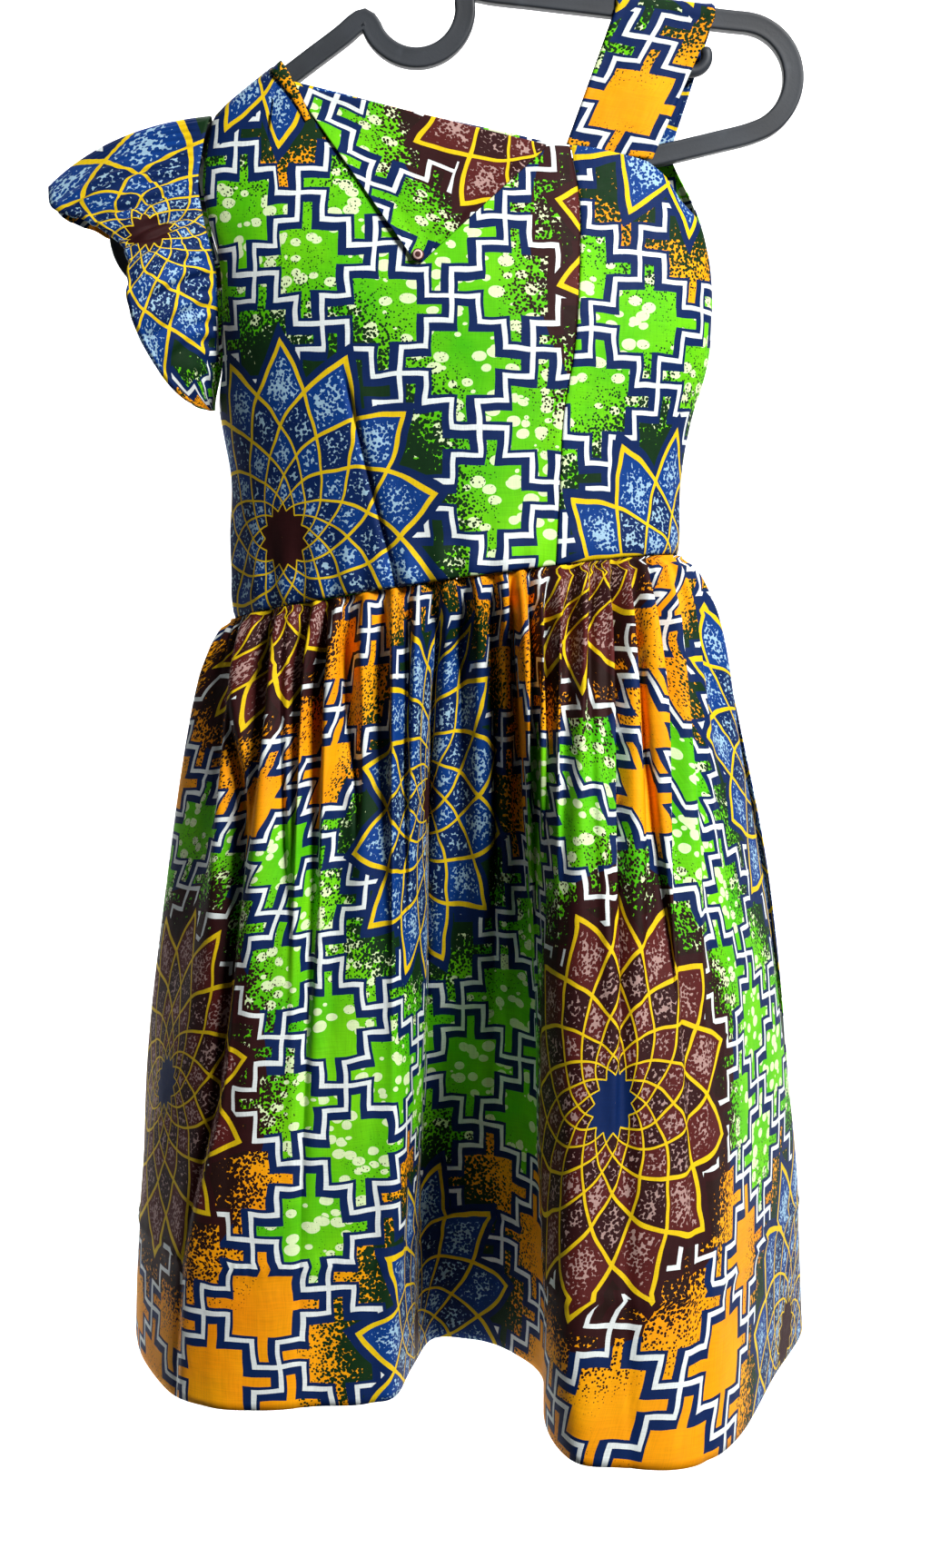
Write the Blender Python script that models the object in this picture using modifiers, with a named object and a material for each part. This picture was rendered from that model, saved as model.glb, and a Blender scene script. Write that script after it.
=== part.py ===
"""A girl's cotton dress on its moulded hanger, held in the shape in which it hangs.

The frame is the hanger's: the origin is the inside top of the hook, +X runs along the shoulders,
the front of the dress looks along -Y and +Z is up. The hanger hangs with its right end high.
Tables of sizes are in centimetres, everything built from them is in metres.
"""

import math

import bmesh
import bpy
import mathutils
import numpy as np

CM = 0.01
COLLECTION = "printed_dress"

# Cloth walls and the gaps between the pieces
CLOTH = 0.0016
FLAP_CLOTH = 0.0020
SEAM = 0.0003
FLAP_LIFT = 0.0024

# Moulded hanger, sizes in its own frame, measured from the point where its arms would meet
HANGER_APEX = (-2.95 * CM, -7.35 * CM)
HANGER_TILT = math.radians(15.0)
ARM_SLOPE = math.radians(21.45)
BAR_HEIGHT = 0.0110
BAR_DEPTH = 0.0080
BAR_CORNER = 0.0030
END_RADIUS = 0.0294
END_CENTRE = (0.1583, -0.0937)
DIP_RADIUS = 0.0263
DIP_CENTRE_DROP = 0.0130
DIP_END_ANGLE = math.radians(-6.0)
PEAK_X = 0.0330
PEAK_FOOT = (0.0285, -0.0115)
PEAK_LIFT = 0.0005
ARM_MARGINS = (0.0400, 0.0040)
LOWER_BAR_MARGIN = 0.0200
LOWER_BAR_DROP = 0.1120
HOOK_RADIUS = 0.0185
HOOK_WIRE = 0.0035
HOOK_FOOT_DROP = 0.0150
HOOK_TIP_ANGLE = math.radians(-28.0)
LOBE_X = 0.1290
LOBE_WIRE = 0.0032
LOBE_LENGTH = 0.0330
LOBE_CURL = 0.0080

# Where the cloth's shoulder line lies above the middle of the hanger's left arm
SHOULDER_RISE = (BAR_HEIGHT / 2 + 2 * SEAM + CLOTH / 2) / math.cos(HANGER_TILT + ARM_SLOPE)
SHOULDER_OUTER_X = -13.5 * CM
SHOULDER_INNER_X = -10.2 * CM
NECK_CORNER_X = -9.6 * CM
SHOULDER_ROUND = 0.6 * CM

# Waist seam: it lies in one tilted plane
WAIST_CENTRE_X = -0.5 * CM
WAIST_HALF_WIDTH = 12.3 * CM
WAIST_CENTRE_Z = -39.65 * CM
WAIST_SLOPE_X = 0.142
WAIST_SLOPE_Y = -0.083

HEM_Z = -82.0 * CM

# Bodice sections: height, fullness front and back, half depth of the armhole at each side
BODICE = (
    # z, front, back, left_edge, right_edge
    (-42.0, 6.0, 5.4, 0.0, 0.0),
    (-38.0, 6.0, 5.4, 0.0, 0.0),
    (-34.0, 6.1, 5.3, 0.0, 0.0),
    (-30.0, 6.0, 5.0, 0.0, 0.0),
    (-27.6, 5.8, 4.8, 0.9, 0.0),
    (-24.7, 5.3, 4.3, 1.6, 0.0),
    (-21.6, 4.3, 3.4, 1.7, 0.0),
    (-20.0, 3.7, 2.9, 1.6, 0.5),
    (-18.2, 3.0, 2.4, 1.3, 0.8),
    (-16.6, 2.4, 1.9, 1.0, 0.9),
    (-14.2, 1.7, 1.5, 0.8, 0.9),
    (-11.0, 1.3, 1.2, 0.8, 0.9),
)
SIDE_SEAM_FLAT = 0.0004
WAIST_FRONT = BODICE[0][1] * CM
WAIST_BACK = BODICE[0][2] * CM

# Outlines in the front view, x and z, from the waist up
LEFT_SIDE = (
    (-12.8, -41.4),
    (-13.0, -36.9),
    (-12.9, -33.8),
    (-13.3, -31.3),
    (-13.5, -30.0),
    (-13.2, -27.6),
    (-13.1, -24.8),
    (-13.2, -22.4),
    (-13.8, -20.0),
    (-14.1, -18.2),
    (-13.9, -16.2),
    (-13.5, -14.4),
)
RIGHT_SIDE = (
    (11.8, -37.9),
    (11.85, -36.0),
    (11.9, -34.1),
    (12.6, -30.0),
    (13.1, -28.4),
    (13.5, -24.7),
    (13.2, -21.4),
    (12.7, -20.0),
    (11.7, -18.9),
    (10.8, -17.6),
    (10.0, -16.95),
)
RIGHT_SIDE_BACK = RIGHT_SIDE[:7] + (
    (12.9, -19.9),
    (12.3, -18.4),
    (11.6, -17.1),
    (11.2, -16.2),
)
PRINCESS_SEAM = (
    (4.8, -38.9),
    (5.0, -34.5),
    (5.2, -30.7),
    (5.7, -27.7),
    (6.0, -23.6),
    (6.0, -18.7),
    (5.6, -16.2),
)
CENTRE_BACK_SEAM = ((-0.5, -40.1), (-0.2, -30.0), (-0.1, -18.4))
NECKLINE_FRONT = ((-10.0, -12.05), (-9.6, -12.7), (4.6, -16.2), (5.6, -16.15), (10.0, -16.95))
NECKLINE_BACK = (
    (-10.0, -12.05),
    (-9.6, -12.7),
    (-8.8, -14.6),
    (-6.5, -16.8),
    (-3.0, -18.1),
    (0.0, -18.4),
    (3.0, -18.0),
    (5.2, -16.9),
    (6.4, -15.6),
    (11.2, -16.15),
)

# Shares up and across at which each bodice panel has a row or a column of points
MAIN_ROWS = (0, 0.06, 0.16, 0.28, 0.40, 0.52, 0.63, 0.73, 0.81, 0.88, 0.93, 0.965, 0.985, 0.995, 1)
SIDE_ROWS = (0, 0.08, 0.2, 0.34, 0.48, 0.61, 0.73, 0.83, 0.91, 0.96, 1)
FRONT_COLUMNS = (0, 0.015, 0.05, 0.105, 0.173, 0.1835, 0.204, 0.28, 0.36, 0.45, 0.54, 0.63, 0.72, 0.81)
FRONT_COLUMNS += (0.90, 1)
SIDE_COLUMNS = (0, 0.22, 0.42, 0.60, 0.75, 0.87, 0.95, 0.985, 1)
BACK_LEFT_COLUMNS = (0, 0.02, 0.08, 0.16, 0.247, 0.262, 0.291, 0.42, 0.56, 0.70, 0.85, 1)
BACK_RIGHT_COLUMNS = (0, 0.17, 0.34, 0.49, 0.63, 0.76, 0.88, 0.96, 0.99, 1)

# Neck flap, its two upper corners and its point, and the button on it
FLAP_CORNERS = ((-9.2, -13.05), (4.3, -16.4))
FLAP_POINT = (-2.45, -22.9)
FLAP_BLUNT = 0.03
BUTTON_PLACE = (-2.45, -22.35)
BUTTON_RADIUS = 0.0032
BUTTON_HEIGHT = 0.0030
BUTTON_DOME = 0.55
BUTTON_EDGE = 0.0005

# Shoulder strap: middle of its lower ends and of its top, and its width there
STRAP_FRONT = (7.70, -0.98, -16.45)
STRAP_BACK = (8.80, 0.98, -15.82)
STRAP_TOP_X = 10.75 * CM
STRAP_BASE_WIDTH = 4.65 * CM
STRAP_TOP_WIDTH = 5.25 * CM
STRAP_TURN = (180, 165, 148, 128, 108, 90, 72, 52, 32, 15, 0)
STRAP_ROUNDING = 0.6
STRAP_FALL_ROWS = 7
STRAP_COLUMNS = 5

# Flounce: outer edge from the top of the shoulder to the underarm
FLOUNCE_EDGE = (
    # share, x, depth, z
    (0.00, -22.6, 0.0, -18.0),
    (0.12, -22.2, 1.3, -19.3),
    (0.26, -20.0, 2.4, -20.2),
    (0.37, -18.2, 3.5, -21.6),
    (0.55, -17.7, 4.1, -24.9),
    (0.75, -16.4, 3.3, -28.0),
    (0.90, -15.0, 1.7, -29.6),
    (1.00, -14.0, 0.35, -29.95),
)
FLOUNCE_COLUMNS = 44
FLOUNCE_ROWS = 8
FLOUNCE_SPACING = 1.6
FLOUNCE_LEAN = (0.62, 1.05, 0.12)
FLOUNCE_WAVES = 3.5
FLOUNCE_WAVE_DEPTH = 0.28 * CM
FLOUNCE_CREASE_SHARE = 0.33
FLOUNCE_CREASE_WIDTH = 0.055
FLOUNCE_CREASE_DEPTH = 0.7 * CM
FLOUNCE_CREASE_FADE = 0.4

# Hem of the skirt seen from above, once round from the left side over the front
HEM = (
    # share, x, y
    (0.000, -19.1, 2.6),
    (0.050, -18.2, -3.2),
    (0.100, -15.9, -8.3),
    (0.170, -13.6, -10.9),
    (0.250, -11.0, -11.5),
    (0.330, -8.0, -10.9),
    (0.390, -5.0, -10.6),
    (0.430, -3.4, -9.3),
    (0.455, -3.0, -5.5),
    (0.480, -2.2, -1.6),
    (0.520, 0.2, -1.4),
    (0.570, 2.6, -3.6),
    (0.600, 4.0, -7.0),
    (0.630, 4.1, -12.5),
    (0.670, 4.9, -17.2),
    (0.730, 7.6, -18.5),
    (0.810, 11.2, -18.1),
    (0.870, 14.0, -14.2),
    (0.930, 16.9, -7.0),
    (1.000, 19.3, 0.4),
    (1.080, 18.0, 5.6),
    (1.180, 14.0, 10.2),
    (1.280, 10.2, 11.2),
    (1.370, 6.8, 7.6),
    (1.460, 3.0, 9.6),
    (1.550, -1.2, 12.2),
    (1.640, -5.0, 10.2),
    (1.720, -8.2, 7.8),
    (1.810, -12.0, 11.4),
    (1.900, -16.5, 8.8),
)
HEM_ROUND = 2.0

# Gathers of the front at the waist seam, each a trough, left to right
FRONT_GATHERS = (
    # x at the seam, depth, length down the skirt
    (-12.2, 0.35, 8.0),
    (-10.5, 0.60, 20.0),
    (-8.4, 0.50, 10.0),
    (-7.3, 0.70, 24.0),
    (-6.0, 0.55, 12.0),
    (-4.2, 0.60, 12.0),
    (-3.1, 0.65, 22.0),
    (-1.6, 0.65, 26.0),
    (0.0, 0.60, 12.0),
    (1.5, 0.65, 20.0),
    (2.5, 0.55, 13.0),
    (3.4, 0.65, 24.0),
    (4.4, 0.55, 11.0),
    (5.6, 0.55, 13.0),
    (6.9, 0.55, 12.0),
    (7.9, 0.70, 27.0),
    (8.9, 0.50, 10.0),
    (9.9, 0.65, 29.0),
    (10.8, 0.45, 10.0),
    (11.4, 0.40, 8.0),
)
BACK_GATHERS = 15
BACK_GATHER_DEPTH = 0.60
BACK_GATHER_LENGTHS = (10.0, 24.0, 14.0)
COLUMNS_PER_GATHER = 4

# Heights of the skirt's rows, as shares of the drop from the waist seam to the hem
SKIRT_ROWS = (0.0, 0.008, 0.03, 0.065, 0.11, 0.17, 0.25, 0.36, 0.48, 0.62, 0.77, 0.90, 1.0)
SEAM_BAND = SKIRT_ROWS[1]
FLARE_POWER = 0.4
LOBE_POWER = 0.85
SEAM_WAVE = 0.2
GATHER_RISE = 3.0 * CM
GATHER_RISE_POWER = 0.7


def smooth(xs, ys, at):
    """Cubic through the points (xs, ys): each slope is that of the chord between its neighbours."""
    xs, ys, at = np.asarray(xs, float), np.asarray(ys, float), np.asarray(at, float)
    slopes = np.gradient(ys, xs)
    place = np.clip(np.searchsorted(xs, at, side="right") - 1, 0, len(xs) - 2)
    step = xs[place + 1] - xs[place]
    f = np.clip((at - xs[place]) / step, 0, 1)
    rest = 1 - f
    ends = ys[place] * (1 + 2 * f) * rest**2 + ys[place + 1] * f**2 * (3 - 2 * f)
    return ends + step * f * rest * (slopes[place] * rest - slopes[place + 1] * f)


def along(outline, share):
    """Points of a polyline of (x, z) in centimetres at shares of its length, in metres."""
    points = np.array(outline, float) * CM
    lengths = np.concatenate([[0], np.cumsum(np.linalg.norm(np.diff(points, axis=0), axis=1))])
    lengths /= lengths[-1]
    return np.stack([smooth(lengths, points[:, k], share) for k in (0, 1)], axis=-1)


def side_x(outline, z):
    """Where the outline's curve stands at the height z."""
    fine = along(outline, np.linspace(0, 1, 80))
    return np.interp(z, fine[:, 1], fine[:, 0])


def arm_height(x):
    """Height of the middle of the hanger's left arm, which runs straight down to the left."""
    return HANGER_APEX[1] + (x - HANGER_APEX[0]) * math.tan(HANGER_TILT + ARM_SLOPE)


def shoulder_height(x):
    return arm_height(x) + SHOULDER_RISE


def section(x, z, side):
    """Depth of the bodice wall at (x, z): half an ellipse over each section, -1 front, 1 back."""
    heights, front, back, left_edge, right_edge = np.array(BODICE).T * CM
    low = side_x(LEFT_SIDE, z) + SIDE_SEAM_FLAT
    high = side_x(RIGHT_SIDE if side < 0 else RIGHT_SIDE_BACK, z) - SIDE_SEAM_FLAT
    full = np.interp(z, heights, front if side < 0 else back)
    across = np.clip((x - low) / (high - low), 0, 1)
    edges = np.interp(z, heights, left_edge), np.interp(z, heights, right_edge)
    edge = edges[0] * (1 - across) + edges[1] * across
    depth = edge + (full - edge) * np.sqrt(1 - (2 * across - 1) ** 2)
    over_bar = np.clip((shoulder_height(x) - z) / SHOULDER_ROUND, 0, 1)
    on_shoulder = np.clip((NECK_CORNER_X - x) / (NECK_CORNER_X - SHOULDER_INNER_X), 0, 1)
    depth *= 1 - on_shoulder * (1 - np.sqrt(1 - (1 - over_bar) ** 2))
    return side * (depth + SEAM)


def waist_height(x, y):
    lean = WAIST_SLOPE_X * (x - WAIST_CENTRE_X) + WAIST_SLOPE_Y * y
    return WAIST_CENTRE_Z + lean


def neck_height(x, neckline):
    """Height of a panel's top edge: the shoulder line over the hanger's arm, then the neckline."""
    xs, zs = np.array(neckline).T * CM
    xs = np.concatenate([[SHOULDER_OUTER_X, SHOULDER_INNER_X], xs])
    zs = np.concatenate([shoulder_height(xs[:2]), zs])
    return np.interp(x, xs, zs)


def bodice_panel(left, right, neckline, side, columns, rows):
    """Grid of a bodice panel: the patch between its two edges, the waist seam and its top edge.

    columns and rows are shares across and up. Each point is the sum of the blend between the
    two edges and the blend between bottom and top, less the blend between the corners.
    """
    u, v = np.array(columns)[None, :, None], np.array(rows)[:, None, None]
    edge_left, edge_right = along(left, rows)[:, None], along(right, rows)[:, None]
    across = np.array(columns)
    corners = edge_left[0, 0], edge_right[0, 0], edge_left[-1, 0], edge_right[-1, 0]
    bottom_x = corners[0][0] * (1 - across) + corners[1][0] * across
    full = WAIST_FRONT if side < 0 else WAIST_BACK
    swing = np.clip((bottom_x - WAIST_CENTRE_X) / WAIST_HALF_WIDTH, -1, 1)
    bottom_y = side * full * np.sqrt(1 - swing**2)
    bottom = np.stack([bottom_x, waist_height(bottom_x, bottom_y) + SEAM], axis=-1)
    top_x = corners[2][0] * (1 - across) + corners[3][0] * across
    top = np.stack([top_x, neck_height(top_x, neckline)], axis=-1)
    edge_left = edge_left + (bottom[0] - edge_left[0, 0]) * (1 - v) + (top[0] - edge_left[-1, 0]) * v
    edge_right = edge_right + (bottom[-1] - edge_right[0, 0]) * (1 - v)
    edge_right = edge_right + (top[-1] - edge_right[-1, 0]) * v
    flat = edge_left * (1 - u) + edge_right * u + bottom[None] * (1 - v) + top[None] * v
    flat -= (bottom[0] * (1 - u) + bottom[-1] * u) * (1 - v) + (top[0] * (1 - u) + top[-1] * u) * v
    depth = section(flat[..., 0], flat[..., 1], side)
    return np.stack([flat[..., 0], depth, flat[..., 1]], axis=-1)


def inset(outline, by):
    """The same outline moved along x by a length in metres, for the gap at a seam."""
    return tuple((x + by / CM, z) for x, z in outline)


def hem_ring(share):
    """Hem curve in metres at shares once round, 0 to 2, through the rows of HEM."""
    shares, xs, ys = np.array(HEM).T
    wrap = np.concatenate([shares[-3:] - HEM_ROUND, shares, shares[:3] + HEM_ROUND])
    found = [smooth(wrap, np.concatenate([k[-3:], k, k[:3]]), share) for k in (xs, ys)]
    return np.stack(found, axis=-1) * CM


def waist_ring(share):
    """Waist curve: half an ellipse over the front for shares 0 to 1, another over the back."""
    angle = (share - 0.5) * math.pi
    depth = np.where(share <= 1, WAIST_FRONT, WAIST_BACK)
    return np.stack([WAIST_CENTRE_X + WAIST_HALF_WIDTH * np.sin(angle), -depth * np.cos(angle)], axis=-1)


def front_gather_shares():
    places = np.array([row[0] for row in FRONT_GATHERS]) * CM
    return 0.5 + np.arcsin((places - WAIST_CENTRE_X) / WAIST_HALF_WIDTH) / math.pi


def gather_table():
    """(share, depth, length) of every gather once round, as three arrays."""
    front = front_gather_shares()
    back = 1 + (np.arange(BACK_GATHERS) + 0.5) / BACK_GATHERS
    depths = [row[1] for row in FRONT_GATHERS] + [BACK_GATHER_DEPTH] * BACK_GATHERS
    lengths = [row[2] for row in FRONT_GATHERS]
    lengths += [BACK_GATHER_LENGTHS[k % len(BACK_GATHER_LENGTHS)] for k in range(BACK_GATHERS)]
    return np.concatenate([front, back]), np.array(depths) * CM, np.array(lengths) * CM


def gathers(share, drop):
    """Outward swing of the cloth: troughs at the gathers, ridges half way between them.

    Between two neighbouring gathers the swing is a cosine. It fades in below the seam and dies
    out with the gather's own length.
    """
    places, depths, lengths = gather_table()
    places = np.concatenate([places[-1:] - HEM_ROUND, places, places[:1] + HEM_ROUND])
    depths = np.concatenate([depths[-1:], depths, depths[:1]])
    lengths = np.concatenate([lengths[-1:], lengths, lengths[:1]])
    order = np.interp(share, places, np.arange(len(places)))
    depth = np.interp(order, np.arange(len(places)), depths)
    length = np.interp(order, np.arange(len(places)), lengths)
    rise = SEAM_WAVE + (1 - SEAM_WAVE) * np.clip(drop / GATHER_RISE, 0, 1) ** GATHER_RISE_POWER
    fall = np.exp(-((drop / length) ** 2))
    return -np.cos(2 * math.pi * order) * depth * rise * fall


def skirt(share, height):
    """Grid of the skirt's wall, rows down from the waist seam and columns round it.

    Each column runs from the waist ring to the hem ring. The sides spread with the mean of a low
    power of the height and a parabola, the big lobes grow with a higher power, and the gathers
    swing along the waist ring's normal.
    """
    share, height = np.asarray(share, float)[None, :], np.asarray(height, float)[:, None]
    waist, hem = waist_ring(share), hem_ring(share)
    open_part = np.clip((height - SEAM_BAND) / (1 - SEAM_BAND), 0, 1)
    flare = (open_part**FLARE_POWER + 1 - (1 - open_part) ** 2) / 2
    x = waist[..., 0] + (hem[..., 0] - waist[..., 0]) * flare
    y = waist[..., 1] + (hem[..., 1] - waist[..., 1]) * open_part**LOBE_POWER
    top = waist_height(waist[..., 0], waist[..., 1]) - SEAM
    z = top + (HEM_Z - top) * height
    angle = (share - 0.5) * math.pi
    normal = np.stack([np.sin(angle) * WAIST_FRONT, -np.cos(angle) * WAIST_HALF_WIDTH], axis=-1)
    normal /= np.linalg.norm(normal, axis=-1, keepdims=True)
    swing = gathers(share, top - z)
    grid = np.stack(np.broadcast_arrays(x, y, z), axis=-1).copy()
    grid[..., :2] += normal * swing[..., None]
    for edge, inner in ((0, 1), (-1, -2)):
        inwards = grid[:, inner] - grid[:, edge]
        grid[:, edge] += inwards / np.linalg.norm(inwards, axis=-1, keepdims=True) * SEAM
    return grid


def gather_columns(places, first, last):
    """Column shares of a skirt width: the same number of columns in each stretch between gathers."""
    marks = np.concatenate([[first], places, [last]])
    parts = np.arange(COLUMNS_PER_GATHER) / COLUMNS_PER_GATHER
    columns = (marks[:-1, None] + np.diff(marks)[:, None] * parts).reshape(-1)
    return np.append(columns, last)


def strap():
    """Grid of the strap: a path up the front, over the bar and down the back, with its width."""
    arm_fall = math.tan(ARM_SLOPE - HANGER_TILT)
    bar_z = HANGER_APEX[1] - (STRAP_TOP_X - HANGER_APEX[0]) * arm_fall
    front, back = np.array(STRAP_FRONT) * CM, np.array(STRAP_BACK) * CM
    reach_y = BAR_DEPTH / 2 + 2 * SEAM + CLOTH / 2
    reach_z = BAR_HEIGHT / 2 + 2 * SEAM + CLOTH / 2
    turn = np.radians(STRAP_TURN)
    over_y = reach_y * np.sign(np.cos(turn)) * np.abs(np.cos(turn)) ** STRAP_ROUNDING
    over_z = bar_z + reach_z * np.abs(np.sin(turn)) ** STRAP_ROUNDING
    climb = np.linspace(0, 1, STRAP_FALL_ROWS)[:-1]
    front_y = front[1] + (-reach_y - front[1]) * climb
    front_z = front[2] + (bar_z - front[2]) * climb
    fall = np.linspace(0, 1, STRAP_FALL_ROWS)[1:]
    back_y = reach_y + (back[1] - reach_y) * fall
    back_z = bar_z + (back[2] - bar_z) * fall
    y = np.concatenate([front_y, over_y, back_y])
    z = np.concatenate([front_z, over_z, back_z])
    x = np.concatenate(
        [
            front[0] + (STRAP_TOP_X - front[0]) * climb,
            np.full(len(turn), STRAP_TOP_X),
            STRAP_TOP_X + (back[0] - STRAP_TOP_X) * fall,
        ]
    )
    grow = np.concatenate([climb, np.ones(len(turn)), 1 - fall])
    width = STRAP_BASE_WIDTH + (STRAP_TOP_WIDTH - STRAP_BASE_WIDTH) * grow
    off = np.linspace(-0.5, 0.5, STRAP_COLUMNS)
    grid_x = x[:, None] + width[:, None] * off
    grid_z = z[:, None] - width[:, None] * off * arm_fall
    return np.stack([grid_x, np.broadcast_to(y[:, None], grid_x.shape), grid_z], axis=-1)


def flounce():
    """Grid of the cap sleeve: columns round the armhole, rows from its seam to its free edge.

    Each column is a quadratic curve that leaves the seam outwards and then falls to the edge.
    Ruffle waves and one sharp crease grow towards the edge.
    """
    place = np.linspace(-1, 1, FLOUNCE_COLUMNS + 1)
    share = np.abs(place) ** FLOUNCE_SPACING
    side = np.where(place < 0, -1.0, 1.0)
    top, low = shoulder_height(SHOULDER_OUTER_X), LEFT_SIDE[4][1] * CM
    z = top + (low + SEAM - top) * share
    heights, _, _, left_edge, _ = np.array(BODICE).T * CM
    over_bar = np.clip((top - z) / SHOULDER_ROUND, 0, 1)
    depth = np.interp(z, heights, left_edge) * np.sqrt(1 - (1 - over_bar) ** 2)
    seam_x = side_x(LEFT_SIDE, z) - CLOTH - SEAM * 2
    seam = np.stack([seam_x, side * depth, z], axis=-1)
    shares, xs, ys, zs = np.array(FLOUNCE_EDGE).T
    edge = np.stack(
        [smooth(shares, xs, share), side * smooth(shares, ys, share), smooth(shares, zs, share)], axis=-1
    ) * CM
    middle = seam + (edge - seam) * np.array(FLOUNCE_LEAN)
    r = np.linspace(0, 1, FLOUNCE_ROWS)[:, None, None]
    grid = seam * (1 - r) ** 2 + middle * 2 * r * (1 - r) + edge * r**2
    end_fade = np.sin(math.pi * share)
    wave = np.cos(2 * math.pi * FLOUNCE_WAVES * share) * FLOUNCE_WAVE_DEPTH * end_fade
    crease = np.exp(-(((share - FLOUNCE_CREASE_SHARE) / FLOUNCE_CREASE_WIDTH) ** 2)) * FLOUNCE_CREASE_DEPTH
    grow = r[..., 0]
    grid[..., 1] += side * (wave * grow - crease * grow * (1 - FLOUNCE_CREASE_FADE * grow))
    return grid


def neck_flap():
    """Grid of the flap: the bodice front's own surface, moved out, narrowing to the point."""
    across, down = np.linspace(0, 1, 13)[None, :], np.linspace(0, 1 - FLAP_BLUNT, 9)[:, None]
    first, second = np.array(FLAP_CORNERS) * CM
    point = np.array(FLAP_POINT) * CM
    x = (first[0] * (1 - across) + second[0] * across) * (1 - down) + point[0] * down
    z = (first[1] * (1 - across) + second[1] * across) * (1 - down) + point[1] * down
    return np.stack([x, section(x, z, -1) - FLAP_LIFT, z], axis=-1)


def own_to_world(points):
    """Hanger's own (x, up) points to the frame's x and z: turned about the point of its arms."""
    points = np.asarray(points, float)
    across = points[:, 0] * math.cos(HANGER_TILT) - points[:, 1] * math.sin(HANGER_TILT)
    up = points[:, 0] * math.sin(HANGER_TILT) + points[:, 1] * math.cos(HANGER_TILT)
    return np.stack([HANGER_APEX[0] + across, HANGER_APEX[1] + up], axis=-1)


def arc(centre, radius, start, stop, count):
    angles = np.linspace(start, stop, count)
    return np.stack([centre[0] + radius * np.cos(angles), centre[1] + radius * np.sin(angles)], axis=-1)


def hanger_loop():
    """Middle line of the hanger's bar in its own frame: dip, right peak, arm, end, lower bar, mirrored."""
    dip = arc((0, -DIP_CENTRE_DROP), DIP_RADIUS, -math.pi / 2, DIP_END_ANGLE, 8)
    slope = math.tan(ARM_SLOPE)
    peak = np.array([PEAK_FOOT, (PEAK_X, -PEAK_X * slope + PEAK_LIFT)])
    arm_end = END_CENTRE[0] + END_RADIUS * math.sin(ARM_SLOPE)
    arm_x = np.linspace(ARM_MARGINS[0], arm_end - ARM_MARGINS[1], 7)
    arm = np.stack([arm_x, -arm_x * slope], axis=-1)
    end = arc(END_CENTRE, END_RADIUS, math.pi / 2 - ARM_SLOPE, -math.pi / 2, 12)
    lower_x = np.linspace(END_CENTRE[0] - LOWER_BAR_MARGIN, 0, 8)
    end_drop = END_RADIUS - END_CENTRE[1]
    lower_z = -LOWER_BAR_DROP - (end_drop - LOWER_BAR_DROP) * np.sin(lower_x / END_CENTRE[0] * math.pi / 2)
    lower = np.stack([lower_x, lower_z], axis=-1)
    right = np.concatenate([dip, peak, arm, end, lower])
    left = right[1:-1][::-1] * (-1, 1)
    return own_to_world(np.concatenate([right, left]))


def hook_path():
    """Middle line of the hook's wire: a stem from the right peak, then round above the origin."""
    to_centre = np.array([0 - HANGER_APEX[0], -(HOOK_RADIUS - HOOK_WIRE) - HANGER_APEX[1]])
    cos, sin = math.cos(HANGER_TILT), math.sin(HANGER_TILT)
    centre = np.array([to_centre[0] * cos + to_centre[1] * sin, to_centre[1] * cos - to_centre[0] * sin])
    stem_x = centre[0] - HOOK_RADIUS
    stem = np.array([[stem_x, -HOOK_FOOT_DROP], [stem_x, centre[1] / 2]])
    return own_to_world(np.concatenate([stem, arc(centre, HOOK_RADIUS, math.pi, HOOK_TIP_ANGLE, 16)]))


def lobe_path(side):
    """Small strap hook under an arm: down from the bar and curled outwards."""
    foot = -LOBE_X * math.tan(ARM_SLOPE)
    low = foot - LOBE_LENGTH + LOBE_CURL
    curl = arc((LOBE_X + LOBE_CURL, low), LOBE_CURL, math.pi, 2 * math.pi, 7)
    path = np.concatenate([[[LOBE_X, foot], [LOBE_X, (foot + low) / 2]], curl])
    return own_to_world(path * (side, 1))


def material(name, colour, roughness):
    made = bpy.data.materials.new(name)
    made.use_nodes = True
    shader = made.node_tree.nodes["Principled BSDF"]
    shader.inputs["Base Color"].default_value = (*colour, 1.0)
    shader.inputs["Roughness"].default_value = roughness
    shader.inputs["Metallic"].default_value = 0.0
    made.diffuse_color = (*colour, 1.0)
    return made


def place(name, mesh, collection, colour, roughness):
    made = bpy.data.objects.new(name, mesh)
    collection.objects.link(made)
    mesh.materials.append(material(name + "_finish", colour, roughness))
    return made


def cloth(name, grid, collection, colour, outward, thickness=CLOTH):
    """Cloth piece: the grid as an open surface turned outwards, with Solidify for its wall."""
    rows, columns = grid.shape[:2]
    index = np.arange(rows * columns).reshape(rows, columns)
    corners = index[:-1, :-1], index[1:, :-1], index[1:, 1:], index[:-1, 1:]
    faces = np.stack([c.reshape(-1) for c in corners], axis=-1)
    if not outward:
        faces = faces[:, ::-1]
    mesh = bpy.data.meshes.new(name)
    mesh.from_pydata(grid.reshape(-1, 3).tolist(), [], faces.tolist())
    mesh.shade_smooth()
    made = place(name, mesh, collection, colour, 0.85)
    wall = made.modifiers.new("wall", "SOLIDIFY")
    wall.thickness = thickness
    wall.offset = 0.0
    return made


def bar_profile():
    """Rounded oblong section of the hanger's bar, as a flat closed curve."""
    tall, deep = BAR_HEIGHT / 2 - BAR_CORNER, BAR_DEPTH / 2 - BAR_CORNER
    signs = ((1, 1), (-1, 1), (-1, -1), (1, -1))
    points = []
    for quarter, (sx, sy) in enumerate(signs):
        for part in range(3):
            angle = math.pi / 2 * (quarter + part / 2)
            turn_x, turn_y = BAR_CORNER * math.cos(angle), BAR_CORNER * math.sin(angle)
            points.append((sx * tall + turn_x, sy * deep + turn_y))
    return points


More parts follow.
